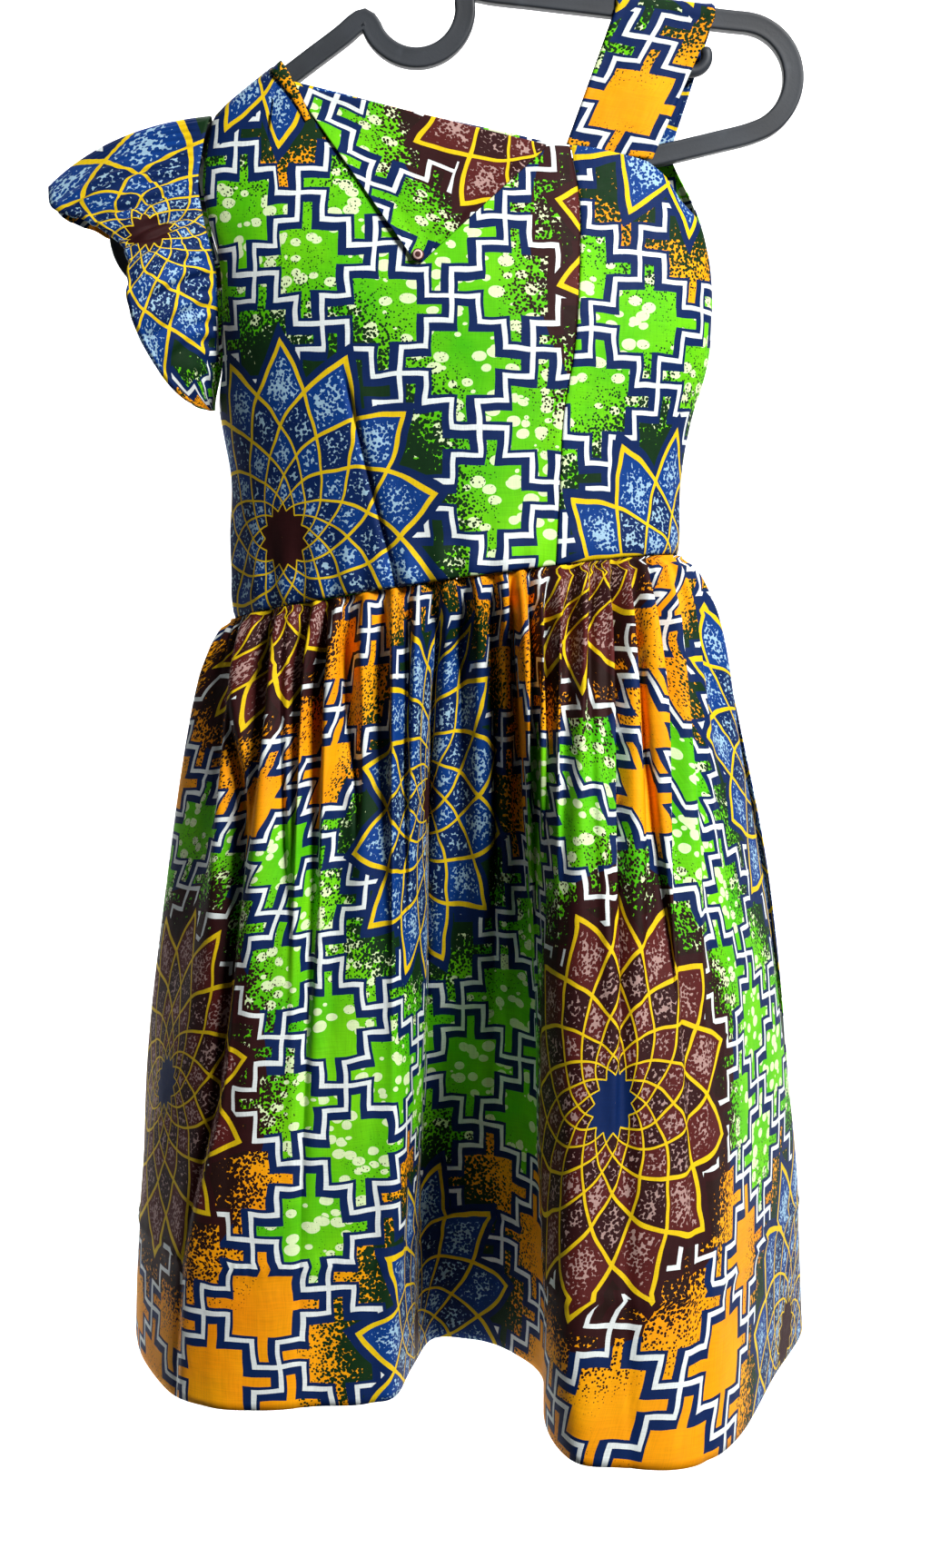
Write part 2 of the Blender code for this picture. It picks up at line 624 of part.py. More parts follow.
def wire_mesh(name, path, radius=0.0, profile=None):
    """Mesh of a flat curve through (x, z) points: an open round wire, or a closed bar of a section."""
    curve = bpy.data.curves.new(name, "CURVE")
    curve.dimensions = "2D"
    curve.fill_mode = "NONE"
    spline = curve.splines.new("POLY")
    spline.points.add(len(path) - 1)
    flat = np.concatenate([path, np.zeros((len(path), 1)), np.ones((len(path), 1))], axis=1)
    spline.points.foreach_set("co", flat.reshape(-1))
    guide = None
    if profile:
        spline.use_cyclic_u = True
        section_curve = bpy.data.curves.new(name + "_section", "CURVE")
        section_curve.dimensions = "2D"
        ring = section_curve.splines.new("POLY")
        ring.points.add(len(profile) - 1)
        for point, (x, y) in zip(ring.points, profile):
            point.co = (x, y, 0, 1)
        ring.use_cyclic_u = True
        guide = bpy.data.objects.new(name + "_section", section_curve)
        curve.bevel_mode = "OBJECT"
        curve.bevel_object = guide
    else:
        curve.bevel_depth = radius
        curve.bevel_resolution = 2
        curve.use_fill_caps = True
    holder = bpy.data.objects.new(name + "_path", curve)
    bpy.context.scene.collection.objects.link(holder)
    graph = bpy.context.evaluated_depsgraph_get()
    mesh = bpy.data.meshes.new_from_object(holder.evaluated_get(graph))
    bpy.data.objects.remove(holder)
    if guide:
        bpy.data.objects.remove(guide)
    mesh.transform(mathutils.Matrix.Rotation(math.pi / 2, 4, "X"))
    work = bmesh.new()
    work.from_mesh(mesh)
    bmesh.ops.remove_doubles(work, verts=work.verts, dist=1e-5)
    bmesh.ops.recalc_face_normals(work, faces=work.faces)
    work.to_mesh(mesh)
    work.free()
    return mesh


def build_hanger(collection, cutters, colour):
    frame = wire_mesh("hanger_frame", hanger_loop(), profile=bar_profile())
    made = place("hanger_frame", frame, collection, colour, 0.45)
    extra = [("hook", hook_path(), HOOK_WIRE), ("lobe_left", lobe_path(-1), LOBE_WIRE)]
    extra.append(("lobe_right", lobe_path(1), LOBE_WIRE))
    for name, path, radius in extra:
        helper = bpy.data.objects.new(name, wire_mesh(name, path, radius))
        helper.hide_render = True
        helper.display_type = "WIRE"
        cutters.objects.link(helper)
        join = made.modifiers.new(name, "BOOLEAN")
        join.operation = "UNION"
        join.object = helper
    frame.shade_smooth()
    return made


def build_button(collection, colour):
    """Covered button: a turned dome on a short edge, its axis along the bodice front's normal."""
    x, z = BUTTON_PLACE[0] * CM, BUTTON_PLACE[1] * CM
    y = float(section(x, z, -1)) - FLAP_LIFT - FLAP_CLOTH / 2 - SEAM
    rise = float(section(x, z + 2e-3, -1) - section(x, z - 2e-3, -1)) / 4e-3
    work = bmesh.new()
    radii = {"radius1": BUTTON_RADIUS, "radius2": BUTTON_RADIUS * BUTTON_DOME}
    bmesh.ops.create_cone(work, cap_ends=True, segments=16, depth=BUTTON_HEIGHT, **radii)
    mesh = bpy.data.meshes.new("covered_button")
    work.to_mesh(mesh)
    work.free()
    made = place("covered_button", mesh, collection, colour, 0.8)
    made.location = (x, y - BUTTON_HEIGHT / 2 - SEAM, z)
    made.rotation_euler = (math.pi / 2 - math.atan(rise), 0, 0)
    soften = made.modifiers.new("soft_edge", "BEVEL")
    soften.width = BUTTON_EDGE
    soften.segments = 1
    return made


def build_bodice(collection, lime, orange):
    left_seam, right_seam = inset(PRINCESS_SEAM, -SEAM), inset(PRINCESS_SEAM, SEAM)
    main = bodice_panel(LEFT_SIDE, left_seam, NECKLINE_FRONT, -1, FRONT_COLUMNS, MAIN_ROWS)
    cloth("bodice_front_left", main, collection, lime, True)
    side = bodice_panel(right_seam, RIGHT_SIDE, NECKLINE_FRONT, -1, SIDE_COLUMNS, SIDE_ROWS)
    cloth("bodice_front_right", side, collection, orange, True)
    left_seam, right_seam = inset(CENTRE_BACK_SEAM, -SEAM), inset(CENTRE_BACK_SEAM, SEAM)
    left = bodice_panel(LEFT_SIDE, left_seam, NECKLINE_BACK, 1, BACK_LEFT_COLUMNS, MAIN_ROWS)
    cloth("bodice_back_left", left, collection, lime, False)
    outline = right_seam, RIGHT_SIDE_BACK, NECKLINE_BACK
    right = bodice_panel(*outline, 1, BACK_RIGHT_COLUMNS, SIDE_ROWS)
    cloth("bodice_back_right", right, collection, orange, False)


def build_skirt(collection, orange, green):
    front = gather_columns(front_gather_shares(), 0, 1)
    cloth("skirt_front", skirt(front, SKIRT_ROWS), collection, orange, True)
    places = 1 + (np.arange(BACK_GATHERS) + 0.5) / BACK_GATHERS
    back = gather_columns(places, 1, 2)
    cloth("skirt_back", skirt(back, SKIRT_ROWS), collection, green, True)


def main():
    for old in list(bpy.data.objects):
        bpy.data.objects.remove(old)
    collection = bpy.data.collections.new(COLLECTION)
    cutters = bpy.data.collections.new("joined_shapes")
    for made in (collection, cutters):
        bpy.context.scene.collection.children.link(made)
    lime, orange, blue = (0.25, 0.55, 0.03), (0.95, 0.33, 0.01), (0.02, 0.09, 0.35)
    green, brown, black = (0.02, 0.20, 0.05), (0.05, 0.012, 0.014), (0.022, 0.025, 0.028)
    build_hanger(collection, cutters, black)
    build_bodice(collection, lime, orange)
    cloth("shoulder_strap", strap(), collection, orange, True)
    cloth("neck_flap", neck_flap(), collection, lime, True, FLAP_CLOTH)
    build_button(collection, brown)
    cloth("sleeve_flounce", flounce(), collection, blue, True)
    build_skirt(collection, orange, green)


if __name__ == "__main__":
    main()
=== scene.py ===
"""The looks of a girl's printed cotton dress that hangs on a moulded hanger.

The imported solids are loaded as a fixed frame. Each cut piece of cloth is drawn again as a thin
shell on the form of its solid, with its gathers, creases, turned edges and stitches. The print is
a generic wax-style pattern that is worked out in the cloth's own metres, from the UV map "cloth".
The front looks along -Y and +Z is up. Outlines, sections, gathers and places on the front are in
centimetres, all other sizes in metres.
"""

import math

import bmesh
import bpy
import mathutils
import numpy as np
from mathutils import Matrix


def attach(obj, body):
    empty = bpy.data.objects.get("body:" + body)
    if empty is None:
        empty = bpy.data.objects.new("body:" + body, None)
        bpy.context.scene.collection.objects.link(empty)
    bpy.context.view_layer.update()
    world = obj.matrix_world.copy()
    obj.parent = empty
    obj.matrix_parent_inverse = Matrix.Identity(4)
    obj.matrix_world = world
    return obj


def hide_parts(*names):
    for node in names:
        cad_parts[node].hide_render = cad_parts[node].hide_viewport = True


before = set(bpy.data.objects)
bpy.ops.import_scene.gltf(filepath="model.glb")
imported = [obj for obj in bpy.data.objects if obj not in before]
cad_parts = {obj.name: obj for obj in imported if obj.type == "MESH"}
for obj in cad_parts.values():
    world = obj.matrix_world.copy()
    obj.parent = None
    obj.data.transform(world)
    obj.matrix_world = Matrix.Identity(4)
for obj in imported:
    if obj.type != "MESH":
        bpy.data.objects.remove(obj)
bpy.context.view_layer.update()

bl_info = {
    "name": "Printed dress on a hanger",
    "version": (1, 0, 0),
    "blender": (4, 5, 0),
    "location": "3D View > Sidebar > Dress",
    "description": "Cloth, print, stitches and hanger of a girl's gathered cotton dress",
    "category": "Object",
}

CM = 0.01
CLOTH_MAP = "cloth"

# Camera: the picture is 1024 x 1726, and its long side sets the lens
CAMERA_PLACE = (0.0, -1.15, -0.39304)
CAMERA_PITCH = math.radians(-5.58)
SENSOR = 36.0
LENS = SENSOR * 2280 / 1726
CLIPPING = (0.02, 40.0)

# Backdrop: a floor that bends up into a wall. Lamps: a key light, a weak fill, and the wall's own
BACKDROP_FLOOR = -1.08
BACKDROP_FRONT = (-0.15, 0.3)
BACKDROP_WALL = 3.6
BACKDROP_BEND = 1.2
BACKDROP_TOP = 3.2
BACKDROP_HALF_WIDTH = 4
BACKDROP_COLOUR = (0.93, 0.93, 0.93)
LAMPS = (
    # name, place, aim, size, watts, tint
    ("key", (1.20, -1.43, 0.85), (0.0, 0.0, -0.40), 0.6, 84.0, (1.0, 0.99, 0.975)),
    ("fill", (-1.5, -1.7, 0.5), (0.0, 0.0, -0.35), 1.2, 0.8, (0.96, 0.98, 1.0)),
    ("back", (0.0, 1.5, 2.0), (0.0, 3.6, -0.4), 2.4, 230.0, (1.0, 1.0, 1.0)),
)
WORLD_LIGHT = 0.03

# The solids' gaps and walls
WALL = 0.0016
SEAM = 0.0003
FLAP_LIFT = 0.0024

# Hanger, measured from the point where its arms would meet
HANGER_APEX = (-2.95 * CM, -7.35 * CM)
HANGER_TILT_DEGREES = 15.0
HANGER_TILT = math.radians(HANGER_TILT_DEGREES)
ARM_SLOPE = math.radians(21.45)
BAR_HEIGHT = 0.0110
BAR_DEPTH = 0.0080
BAR_CORNER = 0.0013
BAR_HOLLOW = 0.0001
END_RADIUS = 0.0294
END_CENTRE = (0.1583, -0.0937)
DIP_RADIUS = 0.0263
DIP_CENTRE_DROP = 0.0130
DIP_END_ANGLE = math.radians(-6.0)
PEAK_X = 0.0330
PEAK_FOOT = (0.0285, -0.0115)
PEAK_LIFT = 0.0005
ARM_MARGINS = (0.0400, 0.0040)
LOWER_BAR_DROP = 0.1120
LOWER_BAR_MARGIN = 0.0200
HOOK_RADIUS = 0.0185
HOOK_WIRE = 0.0035
HOOK_FOOT_DROP = 0.0150
HOOK_TIP_ANGLE = math.radians(-28.0)
LOBE_X = 0.1290
LOBE_WIRE = 0.0032
LOBE_LENGTH = 0.0330
LOBE_CURL = 0.0080

# Shoulder, waist and hem
SHOULDER_RISE = (BAR_HEIGHT / 2 + 2 * SEAM + WALL / 2) / math.cos(HANGER_TILT + ARM_SLOPE)
SHOULDER_OUTER_X = -13.5 * CM
SHOULDER_INNER_X = -10.2 * CM
NECK_CORNER_X = -9.6 * CM
SHOULDER_ROUND = 0.6 * CM
WAIST_CENTRE_X = -0.5 * CM
WAIST_HALF_WIDTH = 12.3 * CM
WAIST_CENTRE_Z = -39.65 * CM
WAIST_SLOPE_X = 0.142
WAIST_SLOPE_Y = -0.083
WAIST_FRONT = 6.0 * CM
WAIST_BACK = 5.4 * CM
HEM_Z = -82.0 * CM
HEM_BAND = 7.6 * CM

# Bodice sections: height, fullness front and back, half depth of the armhole at each side
BODICE = (
    # z, front, back, left_edge, right_edge
    (-42.0, 6.0, 5.4, 0.0, 0.0), (-38.0, 6.0, 5.4, 0.0, 0.0), (-34.0, 6.1, 5.3, 0.0, 0.0),
    (-30.0, 6.0, 5.0, 0.0, 0.0), (-27.6, 5.8, 4.8, 0.9, 0.0), (-24.7, 5.3, 4.3, 1.6, 0.0),
    (-21.6, 4.3, 3.4, 1.7, 0.0), (-20.0, 3.7, 2.9, 1.6, 0.5), (-18.2, 3.0, 2.4, 1.3, 0.8),
    (-16.6, 2.4, 1.9, 1.0, 0.9), (-14.2, 1.7, 1.5, 0.8, 0.9), (-11.0, 1.3, 1.2, 0.8, 0.9),
)
SIDE_SEAM_FLAT = 0.0004

# Outlines in the front view, x and z, from the waist up
LEFT_SIDE = (
    (-12.8, -41.4), (-13.0, -36.9), (-12.9, -33.8), (-13.3, -31.3), (-13.5, -30.0), (-13.2, -27.6),
    (-13.1, -24.8), (-13.2, -22.4), (-13.8, -20.0), (-14.1, -18.2), (-13.9, -16.2), (-13.5, -14.4),
)
RIGHT_SIDE = (
    (11.8, -37.9), (11.85, -36.0), (11.9, -34.1), (12.6, -30.0), (13.1, -28.4), (13.5, -24.7),
    (13.2, -21.4), (12.7, -20.0), (11.7, -18.9), (10.8, -17.6), (10.0, -16.95),
)
RIGHT_SIDE_BACK = RIGHT_SIDE[:7] + ((12.9, -19.9), (12.3, -18.4), (11.6, -17.1), (11.2, -16.2))
PRINCESS_SEAM = (
    (4.8, -38.9), (5.0, -34.5), (5.2, -30.7), (5.7, -27.7), (6.0, -23.6), (6.0, -18.7),
    (5.6, -16.2),
)
CENTRE_BACK_SEAM = ((-0.5, -40.1), (-0.2, -30.0), (-0.1, -18.4))
NECKLINE_FRONT = ((-10.0, -12.05), (-9.6, -12.7), (4.6, -16.2), (5.6, -16.15), (10.0, -16.95))
NECKLINE_BACK = (
    (-10.0, -12.05), (-9.6, -12.7), (-8.8, -14.6), (-6.5, -16.8), (-3.0, -18.1), (0.0, -18.4),
    (3.0, -18.0), (5.2, -16.9), (6.4, -15.6), (11.2, -16.15),
)
BUST_DART = ((-6.5, -27.9), (-5.1, -33.7), (-3.6, -39.4))

# Shares across a bodice panel at which its top edge turns a corner
FRONT_CORNERS = (0, 0.173, 0.1835, 0.204, 0.90, 1)
SIDE_CORNERS = (0, 0.95, 1)
BACK_LEFT_CORNERS = (0, 0.247, 0.262, 0.291, 1)
BACK_RIGHT_CORNERS = (0, 1)

# Neck flap and its button
FLAP_CORNERS = ((-9.2, -13.05), (4.3, -16.4))
FLAP_POINT = (-2.45, -22.9)
FLAP_BLUNT = 0.03
FLAP_ROLL = 0.0016
FLAP_THICKNESS = 0.0009
FLAP_EDGE_LIFT = 0.0010
FLAP_RIPPLE = 0.0004
FLAP_INSIDE = (0.007, 0.001)
BUTTON_PLACE = (-2.45, -22.35)
BUTTON_RADIUS = 0.0032
BUTTON_HEIGHT = 0.0026
BUTTON_SEAT = 0.0011
BUTTON_RING = 0.62
BUTTON_RING_HALF_WIDTH = 0.00045

# Shoulder strap
STRAP_FRONT = (7.70, -0.98, -16.45)
STRAP_BACK = (8.80, 0.98, -15.82)
STRAP_TOP_X = 10.75 * CM
STRAP_BASE_WIDTH = 4.65 * CM
STRAP_TOP_WIDTH = 5.25 * CM
STRAP_ROUNDING = 0.6
STRAP_THICKNESS = 0.0013
STRAP_RIPPLE = 0.0005
STRAP_BEAD = 0.0004
STRAP_TURN_IN = 0.0006

# Flounce: outer edge from the top of the shoulder to the underarm
FLOUNCE_EDGE = (
    # share, x, depth, z
    (0.00, -22.6, 0.0, -18.0), (0.12, -22.2, 1.3, -19.3), (0.26, -20.0, 2.4, -20.2),
    (0.37, -18.2, 3.5, -21.6), (0.55, -17.7, 4.1, -24.9), (0.75, -16.4, 3.3, -28.0),
    (0.90, -15.0, 1.7, -29.6), (1.00, -14.0, 0.35, -29.95),
)
FLOUNCE_SPACING = 1.6
FLOUNCE_LEAN = (0.62, 1.05, 0.12)
FLOUNCE_WAVES = 3.5
FLOUNCE_WAVE_DEPTH = 0.28 * CM
FLOUNCE_CREASE_SHARE = 0.33
FLOUNCE_CREASE_WIDTH = 0.055
FLOUNCE_CREASE_DEPTH = 0.7 * CM
FLOUNCE_CREASE_FADE = 0.4

# Hem of the skirt seen from above, once round from the left side over the front
HEM = (
    # share, x, y
    (0.000, -19.1, 2.6), (0.050, -18.2, -3.2), (0.100, -15.9, -8.3), (0.170, -13.6, -10.9),
    (0.250, -11.0, -11.5), (0.330, -8.0, -10.9), (0.390, -5.0, -10.6), (0.430, -3.4, -9.3),
    (0.455, -3.0, -5.5), (0.480, -2.2, -1.6), (0.520, 0.2, -1.4), (0.570, 2.6, -3.6),
    (0.600, 4.0, -7.0), (0.630, 4.1, -12.5), (0.670, 4.9, -17.2), (0.730, 7.6, -18.5),
    (0.810, 11.2, -18.1), (0.870, 14.0, -14.2), (0.930, 16.9, -7.0), (1.000, 19.3, 0.4),
    (1.080, 18.0, 5.6), (1.180, 14.0, 10.2), (1.280, 10.2, 11.2), (1.370, 6.8, 7.6),
    (1.460, 3.0, 9.6), (1.550, -1.2, 12.2), (1.640, -5.0, 10.2), (1.720, -8.2, 7.8),
    (1.810, -12.0, 11.4), (1.900, -16.5, 8.8),
)
HEM_ROUND = 2.0

# Gathers of the front at the waist seam, each a trough, left to right
FRONT_GATHERS = (
    # x at the seam, depth, length down the skirt
    (-12.2, 0.35, 8.0), (-10.5, 0.60, 20.0), (-8.4, 0.50, 10.0), (-7.3, 0.70, 24.0),
    (-6.0, 0.55, 12.0), (-4.2, 0.60, 12.0), (-3.1, 0.65, 22.0), (-1.6, 0.65, 26.0),
    (0.0, 0.60, 12.0), (1.5, 0.65, 20.0), (2.5, 0.55, 13.0), (3.4, 0.65, 24.0), (4.4, 0.55, 11.0),
    (5.6, 0.55, 13.0), (6.9, 0.55, 12.0), (7.9, 0.70, 27.0), (8.9, 0.50, 10.0), (9.9, 0.65, 29.0),
    (10.8, 0.45, 10.0), (11.4, 0.40, 8.0),
)
BACK_GATHERS = 15
BACK_GATHER_DEPTH = 0.60
BACK_GATHER_LENGTHS = (10.0, 24.0, 14.0)
SEAM_BAND = 0.008
FLARE_POWER = 0.4
LOBE_POWER = 0.85
SEAM_WAVE = 0.2
GATHER_RISE = 3.0 * CM
GATHER_RISE_POWER = 0.7
GATHER_FULLNESS = 1.2
SKIRT_LENGTH = 0.445

# The two widths of the skirt
SKIRT_WIDTHS = (
    # name, share where it begins, share where it ends, columns, seed of its ripples
    ("front", 0.0, 1.0, 330, 21),
    ("back", 1.0, 2.0, 300, 27),
)
SKIRT_ROWS = 126
SKIRT_ROW_SPACING = 1.15

# Folds of the hanging skirt besides its gathers. The cloth on the low side of each line steps back
SKIRT_FOLDS = (
    # low side -1 left or 1 right, step in cm, swell beside it in cm, fade in shares,
    # then the line of (height, share)
    (-1, 2.4, 0.5, 0.060,
     ((0.10, 0.150), (0.26, 0.190), (0.48, 0.192), (0.62, 0.182), (0.79, 0.138), (1.0, 0.124))),
    (1, 1.7, 0.6, 0.045,
     ((0.03, 0.478), (0.24, 0.471), (0.42, 0.473), (0.65, 0.472), (0.89, 0.464), (1.0, 0.460))),
    (-1, 1.7, 0.6, 0.045,
     ((0.03, 0.577), (0.17, 0.584), (0.3, 0.587), (0.53, 0.599), (0.74, 0.608), (1.0, 0.629))),
    (-1, 0.50, 0.35, 0.015, ((0.00, 0.250), (0.20, 0.262), (0.42, 0.290))),
    (1, 0.85, 0.40, 0.016, ((0.00, 0.340), (0.12, 0.346), (0.24, 0.360), (0.34, 0.366))),
    (1, 0.65, 0.35, 0.010, ((0.00, 0.437), (0.13, 0.440), (0.24, 0.440))),
    (1, 0.55, 0.30, 0.010, ((0.00, 0.665), (0.12, 0.668), (0.22, 0.668))),
    (1, 1.00, 0.40, 0.018, ((0.03, 0.716), (0.26, 0.717), (0.42, 0.723), (0.52, 0.728))),
    (-1, 0.95, 0.45, 0.018,
     ((0.05, 0.786), (0.23, 0.788), (0.34, 0.793), (0.46, 0.803), (0.56, 0.808))),
    (1, 0.60, 0.40, 0.024, ((0.00, 0.880), (0.30, 0.890), (0.70, 0.905))),
    (-1, 0.70, 0.40, 0.026, ((0.00, 1.130), (0.40, 1.140), (0.90, 1.130))),
    (1, 0.50, 0.35, 0.018, ((0.00, 1.270), (0.30, 1.290), (0.60, 1.300))),
    (1, 0.60, 0.40, 0.022, ((0.00, 1.420), (0.40, 1.410), (0.80, 1.400))),
    (-1, 0.60, 0.40, 0.022, ((0.00, 1.560), (0.30, 1.580), (0.70, 1.600))),
    (-1, 0.45, 0.30, 0.016, ((0.00, 1.690), (0.25, 1.700), (0.50, 1.710))),
    (1, 0.70, 0.40, 0.026, ((0.00, 1.800), (0.40, 1.790), (0.90, 1.780))),
)
FOLD_EDGE = 0.0035

# Puff at the waist: share where it stands, its spread, the drop over which it dies out, its depth
WAIST_PUFF = (0.93, 0.045, 0.030, 0.010)

# Small forms of the skirt: puckers under the seam, ripples, and the dents of the hem's stitches
PUCKERS_ROUND = 43
PUCKER_DROP = 0.028
SKIRT_RIPPLES = (
    # part of the ripple depth, swings round and down, drops between which it comes in
    (1.0, 34, 7, 0.010, 0.09), (0.45, 90, 16, 0.005, 0.05),
)
STITCH_DENT = 0.0007
STITCH_DENT_WIDTH = 0.006
STITCH_DENTS = 70
HEM_RISE = 0.0005

# Small forms of the bodice: ripples, pulls at the waist, the dart, and edges turned in at the seams
BODICE_ROWS = 170
BODICE_RIPPLES = (
    # part of the ripple depth, swings across and up, step of the seed
    (0.5, 42, 30, 0), (1.2, 20, 15, 4),
)
BLOUSE = 0.0018
WAIST_PULL = 0.0009
WAIST_PULL_PITCH = 0.017
DART_DEPTH = 0.0024
DART_PUFF = 0.0012
SEAM_TURN = 0.0007
WAIST_TURN = 0.0006

# Small creases of the cap sleeve: share of the way round, width, depth
SLEEVE_CREASES = (
    (0.10, 0.010, 0.0014), (0.15, 0.008, 0.0024), (0.20, 0.011, 0.0030), (0.255, 0.010, 0.0042),
    (0.29, 0.007, 0.0030), (0.33, 0.016, 0.0065), (0.375, 0.009, 0.0036), (0.42, 0.011, 0.0034),
    (0.48, 0.012, 0.0022), (0.56, 0.018, 0.0028), (0.66, 0.014, 0.0018), (0.76, 0.020, 0.0020),
)

# Edges and gathers of the sleeve
SLEEVE_GATHERS = 26
SLEEVE_GATHER_DEPTH = 0.0011
SLEEVE_RIPPLE = 0.0016
SLEEVE_BEAD = 0.0009
SLEEVE_TURN_IN = 0.0008

# The neck edge's turned-out end at the left shoulder
TURNING_ENDS = ((-10.15, -11.9), (-8.35, -14.9))
TURNING_WIDTHS = (0.0085, 0.0028)
TURNING_BOW = 0.0012
TURNING_RISE = 0.0012
TURNING_THICKNESS = 0.0006

# Place of each piece on the printed cloth: turn in degrees, then metres across and up
CUT_FROM = {
    "skirt_front_cloth": (0, (0.02, 0.04)),
    "skirt_back_cloth": (0, (0.83, 0.06)),
    "bodice_front_left_cloth": (0, (-0.03, -0.33)),
    "bodice_front_right_cloth": (0, (0.215, -0.285)),
    "bodice_back_left_cloth": (0, (0.3, 0.1)),
    "bodice_back_right_cloth": (0, (0.6, 0.0)),
    "shoulder_strap_cloth": (4, (0.37, 0.05)),
    "neck_flap_cloth": (-12, (0.056, -0.203)),
    "neck_edge_turning": (0, (0.34, 0.03)),
    "sleeve_flounce_cloth": (0, (0.22, -0.12)),
}

# How the print lies on the gathered skirt: the hem's weight in each row's length, the share of the
# way down to the hem past which the rows hang free, and the column, in per cent of them all, from
# which the print's way across is counted
PRINT_FULLNESS = 0.55
PRINT_SETTLED = 0.10
SKIRT_PRINT_LINE = 45

# The upright line, in metres across, from which it is counted on a panel of the bodice
BODICE_PRINT_LINE = -0.02

# The print, beside the sizes and colours in the sidebar
PRINT_START = (10.0, 10.0, 0.0)
DRIFT_SCALE = 42.0
DRIFT = 0.0052
KITE_SHAPE = 0.80
KITE_LINE = 0.036
HEART_LINE = 0.04
RIM = 0.17
HALO_STARTS = 0.15
HALO_ENDS = 1.5
BAND_PHASE = 0.143
BAND_STEP = 0.05
PEBBLE_SCALE = 125.0
PEBBLE_SHAPE = (0.85, 1.2, 1.0)
PEBBLE_MIX = 0.9
DOT_SCALE = 620.0
CRACKLE_START = 0.86
CRACKLE_REACH = 0.82
CRACKLE_MARGIN = 0.10
CRACKLE_BLUE_MIX = 0.66
CRACKLE_PINK_MIX = 0.52
CLOTH_SHEEN = 0.16
CLOTH_BUMP = 0.0016

# Other materials
PLASTIC = (34, 38, 44)
PLASTIC_CLOUD = (46, 52, 60)
PLASTIC_RUBBED = (84, 92, 102)
THREAD = (24, 30, 52)

# The stitches' rings along each bead, and the points round it
STITCH_RINGS = (0.02, 0.22, 0.5, 0.78, 0.98)
STITCH_SIDES = 6

# Waves in a ripple, and a distance that is never the nearest
RIPPLE_WAVES = 7
OUT_OF_REACH = 9


def linear(red, green, blue):
    """Scene-linear colour of three display values from 0 to 255."""
    values = [v / 255 for v in (red, green, blue)]
    return tuple(v / 12.92 if v <= 0.04045 else ((v + 0.055) / 1.055) ** 2.4 for v in values)


def smooth(xs, ys, at):
    """Cubic through the points (xs, ys): each slope is that of the chord between its neighbours."""
    xs, ys, at = np.asarray(xs, float), np.asarray(ys, float), np.asarray(at, float)
    slopes = np.gradient(ys, xs)
    place = np.clip(np.searchsorted(xs, at, side="right") - 1, 0, len(xs) - 2)
    step = xs[place + 1] - xs[place]
    f = np.clip((at - xs[place]) / step, 0, 1)
    rest = 1 - f
    ends = ys[place] * (1 + 2 * f) * rest**2 + ys[place + 1] * f**2 * (3 - 2 * f)
    return ends + step * f * rest * (slopes[place] * rest - slopes[place + 1] * f)


def ease(value, low, high):
    """0 below low, 1 above high, and a smooth step between: 3 t squared less 2 t cubed."""
    t = np.clip((value - low) / (high - low), 0, 1)
    return t * t * (3 - 2 * t)


def bell(value, centre, width):
    """1 at the centre and falling on both sides as e to the minus square of the distance in widths."""
    return np.exp(-(((value - centre) / width) ** 2))


def ripple(a, b, seed):
    """Smooth unrepeating swing of about -1 to 1: a mean of sines in seeded directions and phases."""
    chance = np.random.default_rng(seed)
    turn = chance.uniform(0, 2 * math.pi, RIPPLE_WAVES)
    rate = chance.uniform(0.6, 1.7, RIPPLE_WAVES)
    phase = chance.uniform(0, 2 * math.pi, RIPPLE_WAVES)
    total = 0
    for k in range(RIPPLE_WAVES):
        total = total + np.sin((a * math.cos(turn[k]) + b * math.sin(turn[k])) * rate[k] + phase[k])
    return total / math.sqrt(RIPPLE_WAVES)


def joined(*parts):
    """Points from their coordinates, each brought to the common shape."""
    return np.stack(np.broadcast_arrays(*parts), axis=-1)


def unit(vectors):
    """The vectors at a length of 1."""
    return vectors / np.maximum(np.linalg.norm(vectors, axis=-1, keepdims=True), 1e-12)


def distances(path):
    """Distance along a path of points to each of them."""
    return np.concatenate([[0], np.cumsum(np.linalg.norm(np.diff(path, axis=0), axis=1))])


def along(outline, share):
    """Points of a polyline of (x, z) in centimetres at shares of its length, in metres."""
    points = np.array(outline, float) * CM
    lengths = distances(points)
    lengths /= lengths[-1]
    return np.stack([smooth(lengths, points[:, k], share) for k in (0, 1)], axis=-1)


def side_x(outline, z):
    """Where the outline's curve stands at the height z."""
    fine = along(outline, np.linspace(0, 1, 80))
    return np.interp(z, fine[:, 1], fine[:, 0])


def shoulder_height(x):
    """Height of the cloth over the hanger's left arm, which runs straight down to the left."""
    arm = HANGER_APEX[1] + (x - HANGER_APEX[0]) * math.tan(HANGER_TILT + ARM_SLOPE)
    return arm + SHOULDER_RISE


